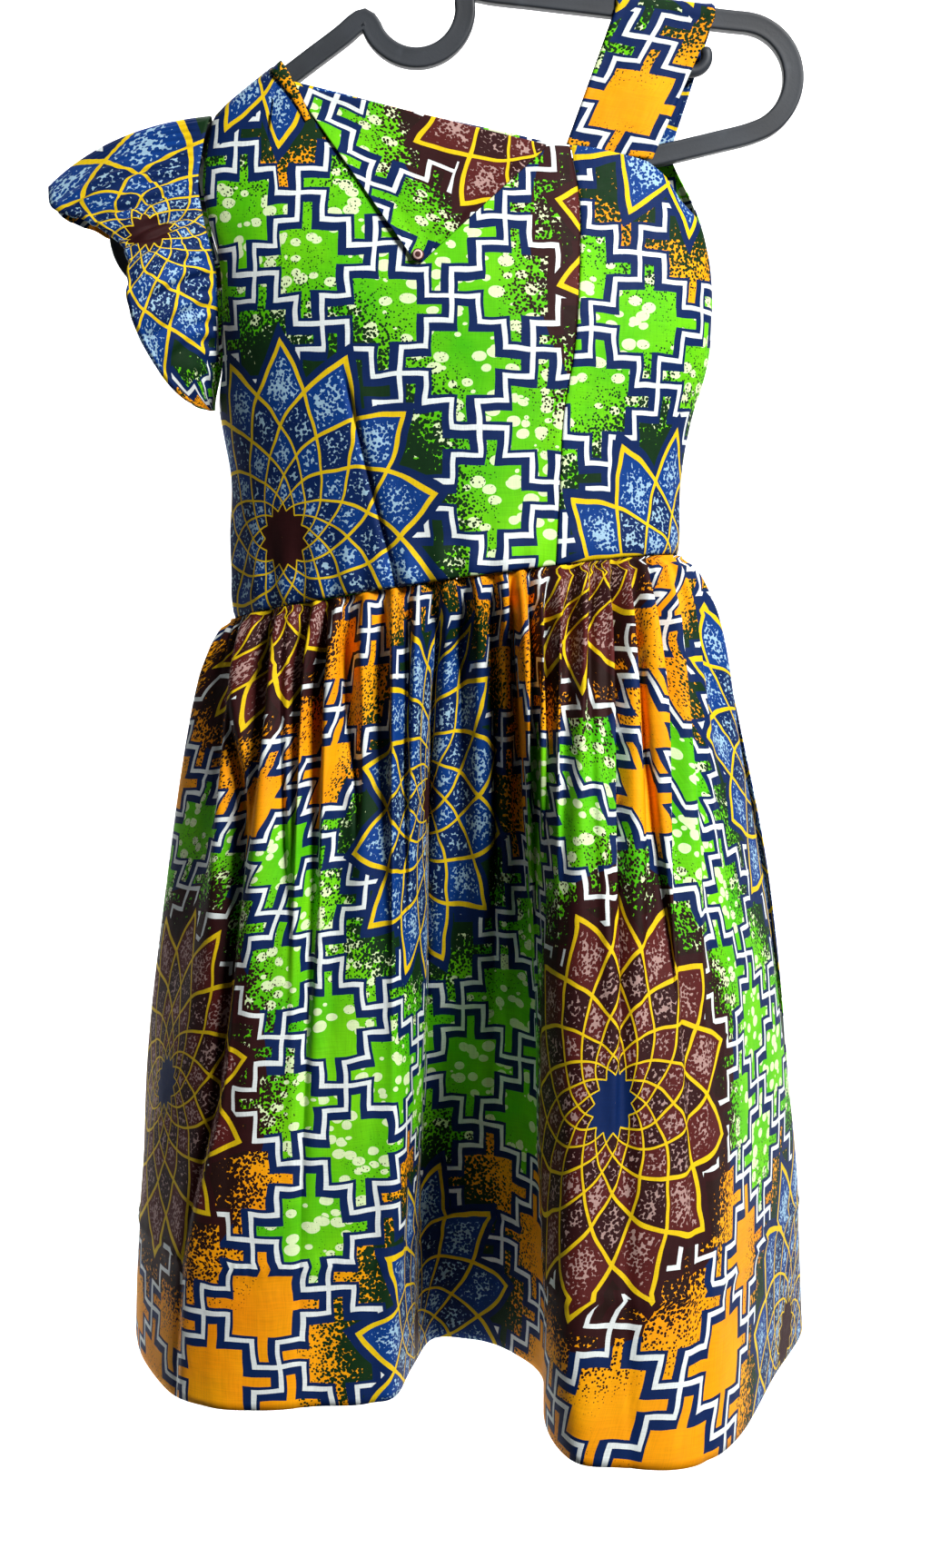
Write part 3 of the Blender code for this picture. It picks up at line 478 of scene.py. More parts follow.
def section(x, z, side):
    """Depth of the bodice wall at (x, z): half an ellipse over each section, -1 front, 1 back."""
    heights, front, back, left_edge, right_edge = np.array(BODICE).T * CM
    low = side_x(LEFT_SIDE, z) + SIDE_SEAM_FLAT
    high = side_x(RIGHT_SIDE if side < 0 else RIGHT_SIDE_BACK, z) - SIDE_SEAM_FLAT
    full = smooth(heights, front if side < 0 else back, z)
    across = np.clip((x - low) / (high - low), 0, 1)
    edges = [np.maximum(smooth(heights, half_depth, z), 0) for half_depth in (left_edge, right_edge)]
    edge = edges[0] * (1 - across) + edges[1] * across
    depth = edge + (full - edge) * np.sqrt(1 - (2 * across - 1) ** 2)
    over_bar = np.clip((shoulder_height(x) - z) / SHOULDER_ROUND, 0, 1)
    on_shoulder = np.clip((NECK_CORNER_X - x) / (NECK_CORNER_X - SHOULDER_INNER_X), 0, 1)
    depth *= 1 - on_shoulder * (1 - np.sqrt(1 - (1 - over_bar) ** 2))
    return side * (depth + SEAM)


def waist_height(x, y):
    """Height of the waist seam's slanting plane."""
    return WAIST_CENTRE_Z + WAIST_SLOPE_X * (x - WAIST_CENTRE_X) + WAIST_SLOPE_Y * y


def neck_height(x, neckline):
    """Height of a panel's top edge: the shoulder line over the hanger's arm, then the neckline."""
    xs, zs = np.array(neckline).T * CM
    xs = np.concatenate([[SHOULDER_OUTER_X, SHOULDER_INNER_X], xs])
    zs = np.concatenate([shoulder_height(xs[:2]), zs])
    return np.interp(x, xs, zs)


def bodice_panel(left, right, neckline, side, columns, rows):
    """Grid of a bodice panel: the patch between its two edges, the waist seam and its top edge.

    Each point is the sum of the blend between the two edges and the blend between bottom and
    top, less the blend between the corners.
    """
    u, v = columns[None, :, None], rows[:, None, None]
    edge_left, edge_right = along(left, rows)[:, None], along(right, rows)[:, None]
    corners = edge_left[0, 0], edge_right[0, 0], edge_left[-1, 0], edge_right[-1, 0]
    bottom_x = corners[0][0] * (1 - columns) + corners[1][0] * columns
    full = WAIST_FRONT if side < 0 else WAIST_BACK
    swing = np.clip((bottom_x - WAIST_CENTRE_X) / WAIST_HALF_WIDTH, -1, 1)
    bottom_y = side * full * np.sqrt(1 - swing**2)
    bottom = joined(bottom_x, waist_height(bottom_x, bottom_y) + SEAM)
    top_x = corners[2][0] * (1 - columns) + corners[3][0] * columns
    top = joined(top_x, neck_height(top_x, neckline))
    edge_left = edge_left + (bottom[0] - edge_left[0, 0]) * (1 - v) + (top[0] - edge_left[-1, 0]) * v
    edge_right = edge_right + (bottom[-1] - edge_right[0, 0]) * (1 - v)
    edge_right = edge_right + (top[-1] - edge_right[-1, 0]) * v
    flat = edge_left * (1 - u) + edge_right * u + bottom[None] * (1 - v) + top[None] * v
    flat -= (bottom[0] * (1 - u) + bottom[-1] * u) * (1 - v) + (top[0] * (1 - u) + top[-1] * u) * v
    return joined(flat[..., 0], section(flat[..., 0], flat[..., 1], side), flat[..., 1])


def inset(outline, by):
    """The same outline moved along x by a length in metres, for the gap at a seam."""
    return tuple((x + by / CM, z) for x, z in outline)


def hem_ring(share):
    """Hem curve in metres at shares once round, 0 to 2, through the rows of HEM."""
    shares, xs, ys = np.array(HEM).T
    wrap = np.concatenate([shares[-3:] - HEM_ROUND, shares, shares[:3] + HEM_ROUND])
    found = [smooth(wrap, np.concatenate([k[-3:], k, k[:3]]), share) for k in (xs, ys)]
    return np.stack(found, axis=-1) * CM


def waist_ring(share):
    """Waist curve: half an ellipse over the front for shares 0 to 1, another over the back."""
    angle = (share - 0.5) * math.pi
    depth = np.where(share <= 1, WAIST_FRONT, WAIST_BACK)
    return joined(WAIST_CENTRE_X + WAIST_HALF_WIDTH * np.sin(angle), -depth * np.cos(angle))


def gather_table():
    """(share, depth, length) of every gather once round, as three arrays."""
    places = np.array([row[0] for row in FRONT_GATHERS]) * CM
    front = 0.5 + np.arcsin((places - WAIST_CENTRE_X) / WAIST_HALF_WIDTH) / math.pi
    back = 1 + (np.arange(BACK_GATHERS) + 0.5) / BACK_GATHERS
    depths = [row[1] for row in FRONT_GATHERS] + [BACK_GATHER_DEPTH] * BACK_GATHERS
    lengths = [row[2] for row in FRONT_GATHERS]
    lengths += [BACK_GATHER_LENGTHS[k % len(BACK_GATHER_LENGTHS)] for k in range(BACK_GATHERS)]
    return np.concatenate([front, back]), np.array(depths) * CM, np.array(lengths) * CM


def gathers(share, drop):
    """Outward swing of the cloth: troughs at the gathers, ridges half way between them.

    Between two neighbouring gathers the swing is a cosine. It fades in below the seam and dies
    out with the gather's own length.
    """
    places, depths, lengths = gather_table()
    places = np.concatenate([places[-1:] - HEM_ROUND, places, places[:1] + HEM_ROUND])
    depths = np.concatenate([depths[-1:], depths, depths[:1]])
    lengths = np.concatenate([lengths[-1:], lengths, lengths[:1]])
    order = np.interp(share, places, np.arange(len(places)))
    depth = np.interp(order, np.arange(len(places)), depths)
    length = np.interp(order, np.arange(len(places)), lengths)
    rise = SEAM_WAVE + (1 - SEAM_WAVE) * np.clip(drop / GATHER_RISE, 0, 1) ** GATHER_RISE_POWER
    fall = np.exp(-((drop / length) ** 2))
    return -np.cos(2 * math.pi * order) * depth * rise * fall


def skirt_form(share, height):
    """Grid of the skirt's wall as its solid has it, rows down from the waist seam.

    Each column runs from the waist ring to the hem ring. The sides spread with the mean of a low
    power of the height and a parabola, the big lobes grow with a higher power, and the gathers
    swing along the waist ring's normal.
    """
    share, height = share[None, :], height[:, None]
    waist, hem = waist_ring(share), hem_ring(share)
    open_part = np.clip((height - SEAM_BAND) / (1 - SEAM_BAND), 0, 1)
    flare = (open_part**FLARE_POWER + 1 - (1 - open_part) ** 2) / 2
    x = waist[..., 0] + (hem[..., 0] - waist[..., 0]) * flare
    y = waist[..., 1] + (hem[..., 1] - waist[..., 1]) * open_part**LOBE_POWER
    top = waist_height(waist[..., 0], waist[..., 1]) - SEAM
    z = top + (HEM_Z - top) * height
    angle = (share - 0.5) * math.pi
    normal = unit(joined(np.sin(angle) * WAIST_FRONT, -np.cos(angle) * WAIST_HALF_WIDTH))
    swing = gathers(share, top - z) * GATHER_FULLNESS
    grid = joined(x, y, z)
    grid[..., :2] += normal * swing[..., None]
    return grid


def normals(grid):
    """Unit normals of a grid: the cross product of its steps across and down."""
    return unit(np.cross(np.gradient(grid, axis=1), np.gradient(grid, axis=0)))


def lengths_across(grid):
    """Length of cloth along each row, from its first column."""
    steps = np.linalg.norm(np.diff(grid, axis=1), axis=-1)
    return np.concatenate([np.zeros((len(grid), 1)), np.cumsum(steps, axis=1)], axis=1)


def lengths_down(grid):
    """Length of cloth down each column, from its first row."""
    return lengths_across(grid.transpose(1, 0, 2)).T


def with_marks(count, marks):
    """Even shares from 0 to 1 with the marks among them."""
    return np.unique(np.concatenate([np.linspace(0, 1, count), marks]))


def grid_mesh(name, grid, uv, wrap=False):
    """Mesh of a grid of points with its UV map, faces wound across then down; wrap closes the rows."""
    rows, columns = grid.shape[:2]
    index = np.arange(rows * columns).reshape(rows, columns)
    if wrap:
        index = np.concatenate([index, index[:, :1]], axis=1)
    corners = index[:-1, :-1], index[1:, :-1], index[1:, 1:], index[:-1, 1:]
    faces = np.stack([c.reshape(-1) for c in corners], axis=-1)
    mesh = bpy.data.meshes.new(name)
    mesh.vertices.add(rows * columns)
    mesh.vertices.foreach_set("co", grid.reshape(-1).astype(np.float32))
    mesh.loops.add(faces.size)
    mesh.loops.foreach_set("vertex_index", faces.reshape(-1).astype(np.int32))
    mesh.polygons.add(len(faces))
    mesh.polygons.foreach_set("loop_start", np.arange(0, faces.size, 4, dtype=np.int32))
    mesh.update(calc_edges=True)
    if uv is not None:
        layer = mesh.uv_layers.new(name=CLOTH_MAP)
        layer.data.foreach_set("uv", uv.reshape(-1, 2)[faces.reshape(-1)].reshape(-1).astype(np.float32))
    mesh.shade_smooth()
    return mesh


def finish_piece(name, mesh, material, nodes=()):
    """Puts a mesh in the scene as a piece of the object, riding on its one body."""
    made = bpy.data.objects.new(name, mesh)
    bpy.context.scene.collection.objects.link(made)
    mesh.materials.append(material)
    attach(made, "root")
    if nodes:
        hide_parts(*nodes)
    return made


def cloth_piece(name, grid, uv, material, nodes, thickness, outward=True):
    """A shell of cloth on a grid of its middle surface, cut from its own place on the print."""
    uv = turned(uv, *CUT_FROM[name])
    if not outward:
        grid, uv = grid[:, ::-1], uv[:, ::-1]
    made = finish_piece(name, grid_mesh(name, grid, uv), material, nodes)
    wall = made.modifiers.new("cloth", "SOLIDIFY")
    wall.thickness = thickness
    wall.offset = 0.0
    return made


class Wire:
    """A link in a material's nodes. Sums, products and comparisons of wires add Math nodes."""

    def __init__(self, board, socket):
        self.board, self.socket = board, socket

    def maths(self, operation, *others):
        return self.board.maths(operation, self, *others)

    def __add__(self, other):
        return self.maths("ADD", other)

    __radd__ = __add__

    def __sub__(self, other):
        return self.maths("SUBTRACT", other)

    def __rsub__(self, other):
        return self.board.maths("SUBTRACT", other, self)

    def __mul__(self, other):
        return self.maths("MULTIPLY", other)

    __rmul__ = __mul__

    def __truediv__(self, other):
        return self.maths("DIVIDE", other)

    def __rtruediv__(self, other):
        return self.board.maths("DIVIDE", other, self)

    def __lt__(self, other):
        return self.maths("LESS_THAN", other)

    def __gt__(self, other):
        return self.maths("GREATER_THAN", other)

    def __abs__(self):
        return self.maths("ABSOLUTE")

    def floor(self):
        return self.maths("FLOOR")

    def part(self):
        """What is left above the floor."""
        return self.maths("FRACT")

    def least(self, other):
        return self.maths("MINIMUM", other)

    def most(self, other):
        return self.maths("MAXIMUM", other)

    def step(self, low, high):
        """0 below low, 1 above high, straight between."""
        values = {"Value": self, "From Min": low, "From Max": high}
        return self.board.node("ShaderNodeMapRange", {"clamp": True}, values)


class Board:
    """The nodes of one material."""

    def __init__(self, name):
        self.material = bpy.data.materials.new(name)
        self.material.use_nodes = True
        self.tree = self.material.node_tree
        self.shader = self.tree.nodes["Principled BSDF"]

    def node(self, kind, settings, values, output=0):
        """Adds a node, sets its settings or its ramp's stops, then fills or links its sockets."""
        made = self.tree.nodes.new(kind)
        for key, value in settings.items():
            if key == "stops":
                self.set_stops(made.color_ramp, value)
            else:
                setattr(made, key, value)
        for key, value in values.items():
            self.put(made.inputs[key], value)
        return Wire(self, made.outputs[output])

    def put(self, socket, value):
        """Links a wire to a socket or sets the socket's own value; a colour gets an alpha of 1."""
        if isinstance(value, Wire):
            self.tree.links.new(value.socket, socket)
            return
        if socket.type == "RGBA" and len(value) == 3:
            value = (*value, 1.0)
        socket.default_value = value

    def set_stops(self, ramp, stops):
        """Gives a colour ramp flat steps, each from its place to the next."""
        ramp.interpolation = "CONSTANT"
        while len(ramp.elements) < len(stops):
            ramp.elements.new(1.0)
        for element, (place, colour) in zip(ramp.elements, stops):
            element.position, element.color = place, (*colour, 1.0)

    def maths(self, operation, *values):
        """A Math node on wires and numbers."""
        return self.node("ShaderNodeMath", {"operation": operation}, dict(enumerate(values)))

    def mix(self, share, first, second):
        """Colour mix: first where share is 0 and second where it is 1."""
        settings = {"data_type": "RGBA"}
        return self.node("ShaderNodeMix", settings, {0: share, 6: first, 7: second}, 2)

    def split(self, colour):
        """The three channels of a colour or a place."""
        made = self.tree.nodes.new("ShaderNodeSeparateColor")
        self.put(made.inputs[0], colour)
        return [Wire(self, made.outputs[k]) for k in range(3)]

    def join(self, x, y):
        """A place from its coordinates."""
        return self.node("ShaderNodeCombineXYZ", {}, {0: x, 1: y})

    def add(self, place, other):
        """Sum of two places."""
        return self.node("ShaderNodeVectorMath", {"operation": "ADD"}, {0: place, 1: other})

    def scaled(self, place, sizes):
        """A place with each coordinate multiplied."""
        return self.node("ShaderNodeMapping", {}, {"Vector": place, "Scale": sizes})

    def noise(self, place, scale, detail=2.0, output=0):
        """Smooth noise: its height, or with output 1 three channels."""
        values = {"Vector": place, "Scale": scale, "Detail": detail}
        return self.node("ShaderNodeTexNoise", {}, values, output)

    def cells(self, place, scale, output, random):
        """Distance to the nearest of scattered points, or with output 1 that point's own chance."""
        values = {"Vector": place, "Scale": scale, "Randomness": random}
        return self.node("ShaderNodeTexVoronoi", {"feature": "F1"}, values, output)

    def object_place(self):
        """Object coordinates."""
        return self.node("ShaderNodeTexCoord", {}, {}, 3)

    def surface(self, colour, roughness, height=None, depth=0.0, strength=1.0):
        """Fills the shader: colour, roughness and a bump of the height times the depth in metres."""
        self.put(self.shader.inputs["Base Color"], colour)
        self.put(self.shader.inputs["Roughness"], roughness)
        if height is not None:
            values = {"Strength": strength, "Distance": depth, "Height": height}
            self.put(self.shader.inputs["Normal"], self.node("ShaderNodeBump", {}, values))
        return self.material


# The stepped diamond: 13 cells within two steps of its middle, told apart by 2 i + 3 j, modulo 13
DIAMOND_CELLS = 13
DIAMOND = {
    (2 * i + 3 * j) % DIAMOND_CELLS: (i, j)
    for i in range(-2, 3)
    for j in range(-2, 3)
    if abs(i) + abs(j) <= 2
}


def diamond_stops(*tests):
    """Stops of a stepped ramp over the 13 kinds of cell, with a channel for each test of (i, j)."""
    stops = []
    for kind in range(DIAMOND_CELLS):
        values = [float(test(*DIAMOND[kind])) for test in tests]
        stops.append((kind / DIAMOND_CELLS, tuple(values)))
    return stops


def leaves(di, dj):
    """Test of whether a step from a cell leaves its diamond."""
    return lambda i, j: abs(i + di) + abs(j + dj) > 2


def lattice(board, u, v, sizes):
    """White and navy line masks of the stepped diamonds, and the place of each one's middle.

    A cell's edge or corner carries a line where its neighbour there is in another diamond. White
    covers a narrow strip at the line; navy a wide one to its left and below, a thin one else.
    """
    x, y = u / sizes.cell, v / sizes.cell
    i, j = x.floor(), y.floor()
    right_of, above = x - i, y - j
    left, low, right, top = right_of, above, 1 - right_of, 1 - above
    kind = ((i * 2 + j * 3).maths("FLOORED_MODULO", float(DIAMOND_CELLS)) + 0.5) / DIAMOND_CELLS
    always = leaves(OUT_OF_REACH, OUT_OF_REACH)

    def ramp(*tests):
        return board.split(board.node("ShaderNodeValToRGB", {"stops": diamond_stops(*tests)}, {0: kind}))

    edge_right, edge_top, edge_left = ramp(leaves(1, 0), leaves(0, 1), leaves(-1, 0))
    edge_low, top_right, top_left = ramp(leaves(0, -1), leaves(1, 1), leaves(-1, 1))
    low_left, low_right, _ = ramp(leaves(-1, -1), leaves(1, -1), always)
    step_i, step_j, _ = ramp(lambda i, j: (i + 2) / 4, lambda i, j: (j + 2) / 4, always)
    wide, thin = sizes.navy_wide / sizes.cell, sizes.navy_thin / sizes.cell

    def nearest(reach_right, reach_top, reach_left, reach_low):
        """Distance in cells to the nearest line, less the reach to each side."""
        to_right, to_top = right - reach_right, top - reach_top
        to_left, to_low = left - reach_left, low - reach_low
        found = to_right + (1 - edge_right) * OUT_OF_REACH
        for distance, counts in (
            (to_top, edge_top),
            (to_left, edge_left),
            (to_low, edge_low),
            (to_right.most(to_top), top_right),
            (to_left.most(to_top), top_left),
            (to_left.most(to_low), low_left),
            (to_right.most(to_low), low_right),
        ):
            found = found.least(distance + (1 - counts) * OUT_OF_REACH)
        return found

    white = nearest(0.0, 0.0, 0.0, 0.0) < sizes.white_line / 2 / sizes.cell
    navy = nearest(wide, wide, thin, thin) < 0.0
    middle_i, middle_j = i - (step_i * 4 - 2), j - (step_j * 4 - 2)
    return white, navy, middle_i, middle_j


def rosettes(board, u, v, sizes):
    """Masks of the rosettes of kite-shaped tiles.

    The nearest one is found on a half-drop grid. Its polar angle, in tiles, plus and minus the
    logarithm of its radius are whole numbers on two families of spirals. These cut the disc into
    kites that shrink towards a plain heart. A kite's level, the difference of the two whole
    numbers, counts the rings outwards, so the last level's tips make the rosette's spiky edge.
    """
    column = (u / sizes.repeat_across + 0.5).floor()
    half = (column * 0.5).part()
    row = (v / sizes.repeat_down - half + 0.5).floor()
    x = u - column * sizes.repeat_across
    y = (v - (row + half) * sizes.repeat_down) / sizes.stretch
    radius = (x * x + y * y).maths("SQRT")
    angle = (y.maths("ARCTAN2", x) / (2 * math.pi) + 0.5) * sizes.tiles
    ring = (radius / sizes.centre_radius).maths("LOGARITHM", math.e)
    ring = ring * (sizes.tiles / (2 * math.pi) * KITE_SHAPE)
    plus, minus = angle + ring, angle - ring
    level = plus.floor() - minus.floor()
    a, b = plus.part(), minus.part()
    inner, outer = a.least(1 - b), (1 - a).least(b)
    near = inner.least(outer)
    last = float(sizes.levels)
    beyond, core = level > last + 0.5, level < 0.5
    outside = inner + (level > last + 1.5) * OUT_OF_REACH
    outside = outside.least(a.most(1 - b) + (level > last + 2.5) * OUT_OF_REACH)
    at_core = outer + (level < -0.5) * OUT_OF_REACH
    gap = near + (outside - near) * beyond + (at_core - near) * core
    line = gap < sizes.centre_radius * HEART_LINE / radius + KITE_LINE
    return {
        "kind": half > 0.25,
        "line": line,
        "body": (1 - beyond).most(line),
        "rim": (outside < RIM) * beyond,
        "alternate": (level * 0.5).part() > 0.25,
        "core": core,
        "halo": 1 - ring.step(last / 2 + HALO_STARTS, last / 2 + HALO_ENDS),
        "near": near,
    }


def printed_cotton(context):
    """The print and weave of the cloth, shared by all its pieces."""
    known = bpy.data.materials.get("printed_cotton")
    if known:
        return known
    sizes, colours = context.scene.dress_print, context.scene.dress_colours
    pick = {name: tuple(getattr(colours, name)) for name in DressColours.__annotations__}
    board = Board("printed_cotton")
    flat = board.node("ShaderNodeUVMap", {"uv_map": CLOTH_MAP}, {})
    drift = board.split(board.noise(flat, DRIFT_SCALE, 1.0, 1))
    u, v, _ = board.split(board.add(flat, PRINT_START))
    u, v = u + (drift[0] - 0.5) * DRIFT, v + (drift[1] - 0.5) * DRIFT
    white, navy, middle_i, middle_j = lattice(board, u, v, sizes)
    rings = rosettes(board, u, v, sizes)

    # Ground: whole diamonds are orange or lime, in bands down the cloth with stepped borders
    band = middle_j * (sizes.cell / sizes.band_repeat) + BAND_PHASE
    band = band + (middle_i * 0.9).maths("SINE") * BAND_STEP
    on_lime = abs(band.part() - 0.5) < sizes.lime_share / 2
    clouds = board.noise(flat, 18.0, 3.0).step(0.35, 0.7)
    orange = board.mix(clouds, pick["orange"], pick["orange_deep"])
    lime = board.mix(clouds, pick["lime"], pick["lime_deep"])

    # Pale pebbles on the lime, in patches
    bent = board.add(flat, board.join(drift[0] * 0.004, drift[1] * 0.004))
    oval = board.scaled(bent, PEBBLE_SHAPE)
    pebble = board.cells(oval, PEBBLE_SCALE, 0, 0.85)
    chance = board.split(board.cells(oval, PEBBLE_SCALE, 1, 0.85))[0]
    patch = board.noise(flat, 50.0, 1.0)
    pale = pebble < (chance * 0.30 + 0.31 + (patch - 0.5) * 1.2).least(0.47)
    ground = board.mix(on_lime, orange, board.mix(pale * PEBBLE_MIX, lime, pick["pebble"]))

    # Speckled halo round each rosette, from single dots to a solid dark
    kind, halo = rings["kind"], rings["halo"]
    dot = board.cells(flat, DOT_SCALE, 0, 1.0)
    fine = board.noise(flat, 30.0, 2.0)
    cover = halo + (fine - 0.5) * 0.5 * (halo > 0.01)
    shade = board.mix(kind, pick["halo_green"], pick["halo_brown"])
    ground = board.mix(dot < cover * 1.3 - 0.15, ground, shade)
    ink = board.mix(kind * (halo > 0.55), pick["navy"], pick["brown"])
    ground = board.mix(white, board.mix(navy, ground, ink), pick["white"])

    # Rosettes: yellow lines, rings of two shades with a pale coral-like crackle, a dark heart
    reach = CRACKLE_START - rings["near"] * (CRACKLE_REACH - rings["alternate"] * 0.30)
    coral = (dot > reach + (fine - 0.5) * 0.5) * (rings["near"] > CRACKLE_MARGIN)
    blue = board.mix(rings["alternate"], pick["blue"], pick["blue_deep"])
    blue = board.mix(coral * CRACKLE_BLUE_MIX, blue, pick["crackle_blue"])
    brown = board.mix(rings["alternate"], pick["brown_light"], pick["brown"])
    brown = board.mix(coral * CRACKLE_PINK_MIX, brown, pick["crackle_pink"])
    heart = board.mix(kind, pick["brown"], pick["navy"])
    fill = board.mix(rings["core"], board.mix(kind, blue, brown), heart)
    fill = board.mix(rings["line"], fill, pick["yellow"])
    colour = board.mix(rings["rim"], ground, board.mix(kind, pick["navy"], pick["brown"]))
    colour = board.mix(rings["body"], colour, fill)

    # Threads of the plain weave, faint colour of single yarns, and small crumples
    weave = (u * (2 * math.pi / sizes.yarn)).maths("SINE") * (v * (2 * math.pi / sizes.yarn)).maths("SINE")
    yarns = board.noise(board.join(u * 60, v * 1600), 1.0, 1.0)
    yarns = yarns + board.noise(board.join(u * 1600, v * 60), 1.0, 1.0)
    dim = board.mix((yarns - 0.8).step(0.0, 0.5) * 0.16, colour, (0.0, 0.0, 0.0))
    crumple = board.noise(flat, 26.0, 3.0) * 1.6 + board.noise(flat, 90.0, 2.0) * 0.35
    rough = board.noise(flat, 240.0, 2.0) * 0.16 + 0.62
    board.shader.inputs["Specular IOR Level"].default_value = CLOTH_SHEEN
    return board.surface(dim, rough, weave * 0.018 + crumple, CLOTH_BUMP, 0.55)


def thread_material():
    """Twisted navy sewing thread: diagonal ply ridges over its own colour."""
    board = Board("thread_navy")
    ply = board.noise(board.object_place(), 2600.0, 1.0)
    colour = linear(*THREAD)
    tone = board.mix(ply.step(0.3, 0.7), colour, tuple(c * 0.55 for c in colour))
    return board.surface(tone, 0.7, ply, 0.0001, 0.5)


def dark_plastic():
    """Moulded hanger plastic: near black and dull, with a fine grain and faint rubbed streaks."""
    board = Board("hanger_plastic")
    place = board.object_place()
    grain = board.noise(place, 900.0, 2.0)
    cloud = board.noise(place, 28.0, 3.0)
    worn = board.noise(board.scaled(place, (6.0, 30.0, 6.0)), 14.0, 4.0)
    tone = board.mix(cloud.step(0.3, 0.75), linear(*PLASTIC), linear(*PLASTIC_CLOUD))
    tone = board.mix(worn.step(0.62, 0.8) * 0.25, tone, linear(*PLASTIC_RUBBED))
    rough = cloud * 0.16 + grain * 0.1 + 0.42
    return board.surface(tone, rough, grain, 0.00008, 0.5)


def stitches(name, starts, ends, outward, radius, material):
    """A row of thread stitches: a thin bead from each start to its end, arched outwards.

    Each bead is a tube of a few rings; its radius and its lift follow a half sine.
    """
    t = np.array(STITCH_RINGS)
    arch = np.sin(math.pi * t)
    run = ends - starts
    outward = unit(outward)
    sideways = unit(np.cross(run, outward))
    angle = np.linspace(0, 2 * math.pi, STITCH_SIDES + 1)[:-1]
    centre = starts[:, None] + run[:, None] * t[None, :, None]
    centre = centre + outward[:, None] * (radius * 0.9 * arch)[None, :, None]
    size = radius * (0.30 + 0.70 * arch)[None, :, None, None]
    circle = sideways[:, None, None] * np.cos(angle)[None, None, :, None]
    circle = circle + outward[:, None, None] * np.sin(angle)[None, None, :, None] * 0.7
    points = centre[:, :, None] + circle * size
    ring = np.arange(STITCH_SIDES)
    after = (ring + 1) % STITCH_SIDES
    base = np.arange(len(starts))[:, None, None] * STITCH_SIDES * len(t)
    levels = np.arange(len(t) - 1) * STITCH_SIDES
    corners = ring, after, after + STITCH_SIDES, ring + STITCH_SIDES
    quads = np.concatenate([np.stack(corners, 1) + level for level in levels])
    caps = np.array([ring[::-1], ring + STITCH_SIDES * (len(t) - 1)])
    faces = (quads[None] + base).reshape(-1, 4).tolist()
    faces += (caps[None] + base).reshape(-1, STITCH_SIDES).tolist()
    mesh = bpy.data.meshes.new(name)
    mesh.from_pydata(points.reshape(-1, 3).tolist(), [], faces)
    mesh.shade_smooth()
    return finish_piece(name, mesh, material)


def stitch_path(points, outward, length, gap):
    """Starts, ends and outward directions of stitches spaced evenly along a path of points."""
    way = distances(points)
    starts = np.arange(gap, way[-1] - length, length + gap)

    def at(places, values):
        return np.stack([np.interp(places, way, values[:, k]) for k in range(3)], axis=-1)

    return at(starts, points), at(starts + length, points), at(starts + length / 2, outward)


def skirt_rows():
    """Shares of the way from waist seam to hem at the skirt's rows, closer together near the seam."""
    return np.linspace(0, 1, SKIRT_ROWS) ** SKIRT_ROW_SPACING


def skirt_folds(s, h):
    """How far the folds push the cloth along the line of sight.

    Behind each fold's line the cloth steps back and comes forward again as e to the minus
    distance. In front of it the cloth swells as a bell.
    """
    large = np.zeros(np.broadcast_shapes(s.shape, h.shape))
    for low_side, step, swell, fade, line in SKIRT_FOLDS:
        heights, shares = np.array(line).T
        span = ease(h, heights[0] - 0.02, heights[0] + 0.08)
        if heights[-1] < 1:
            span = span * (1 - ease(h, heights[-1] - 0.14, heights[-1]))
        past = (s - smooth(heights, shares, h)) * low_side
        low = ease(past, -FOLD_EDGE, FOLD_EDGE)
        back = step * np.exp(-np.maximum(past, 0) / fade)
        proud = swell * np.exp(-((np.minimum(past, 0) / (1.4 * fade)) ** 2))
        large = large + CM * span * (proud * (1 - low) - back * low)
    return large


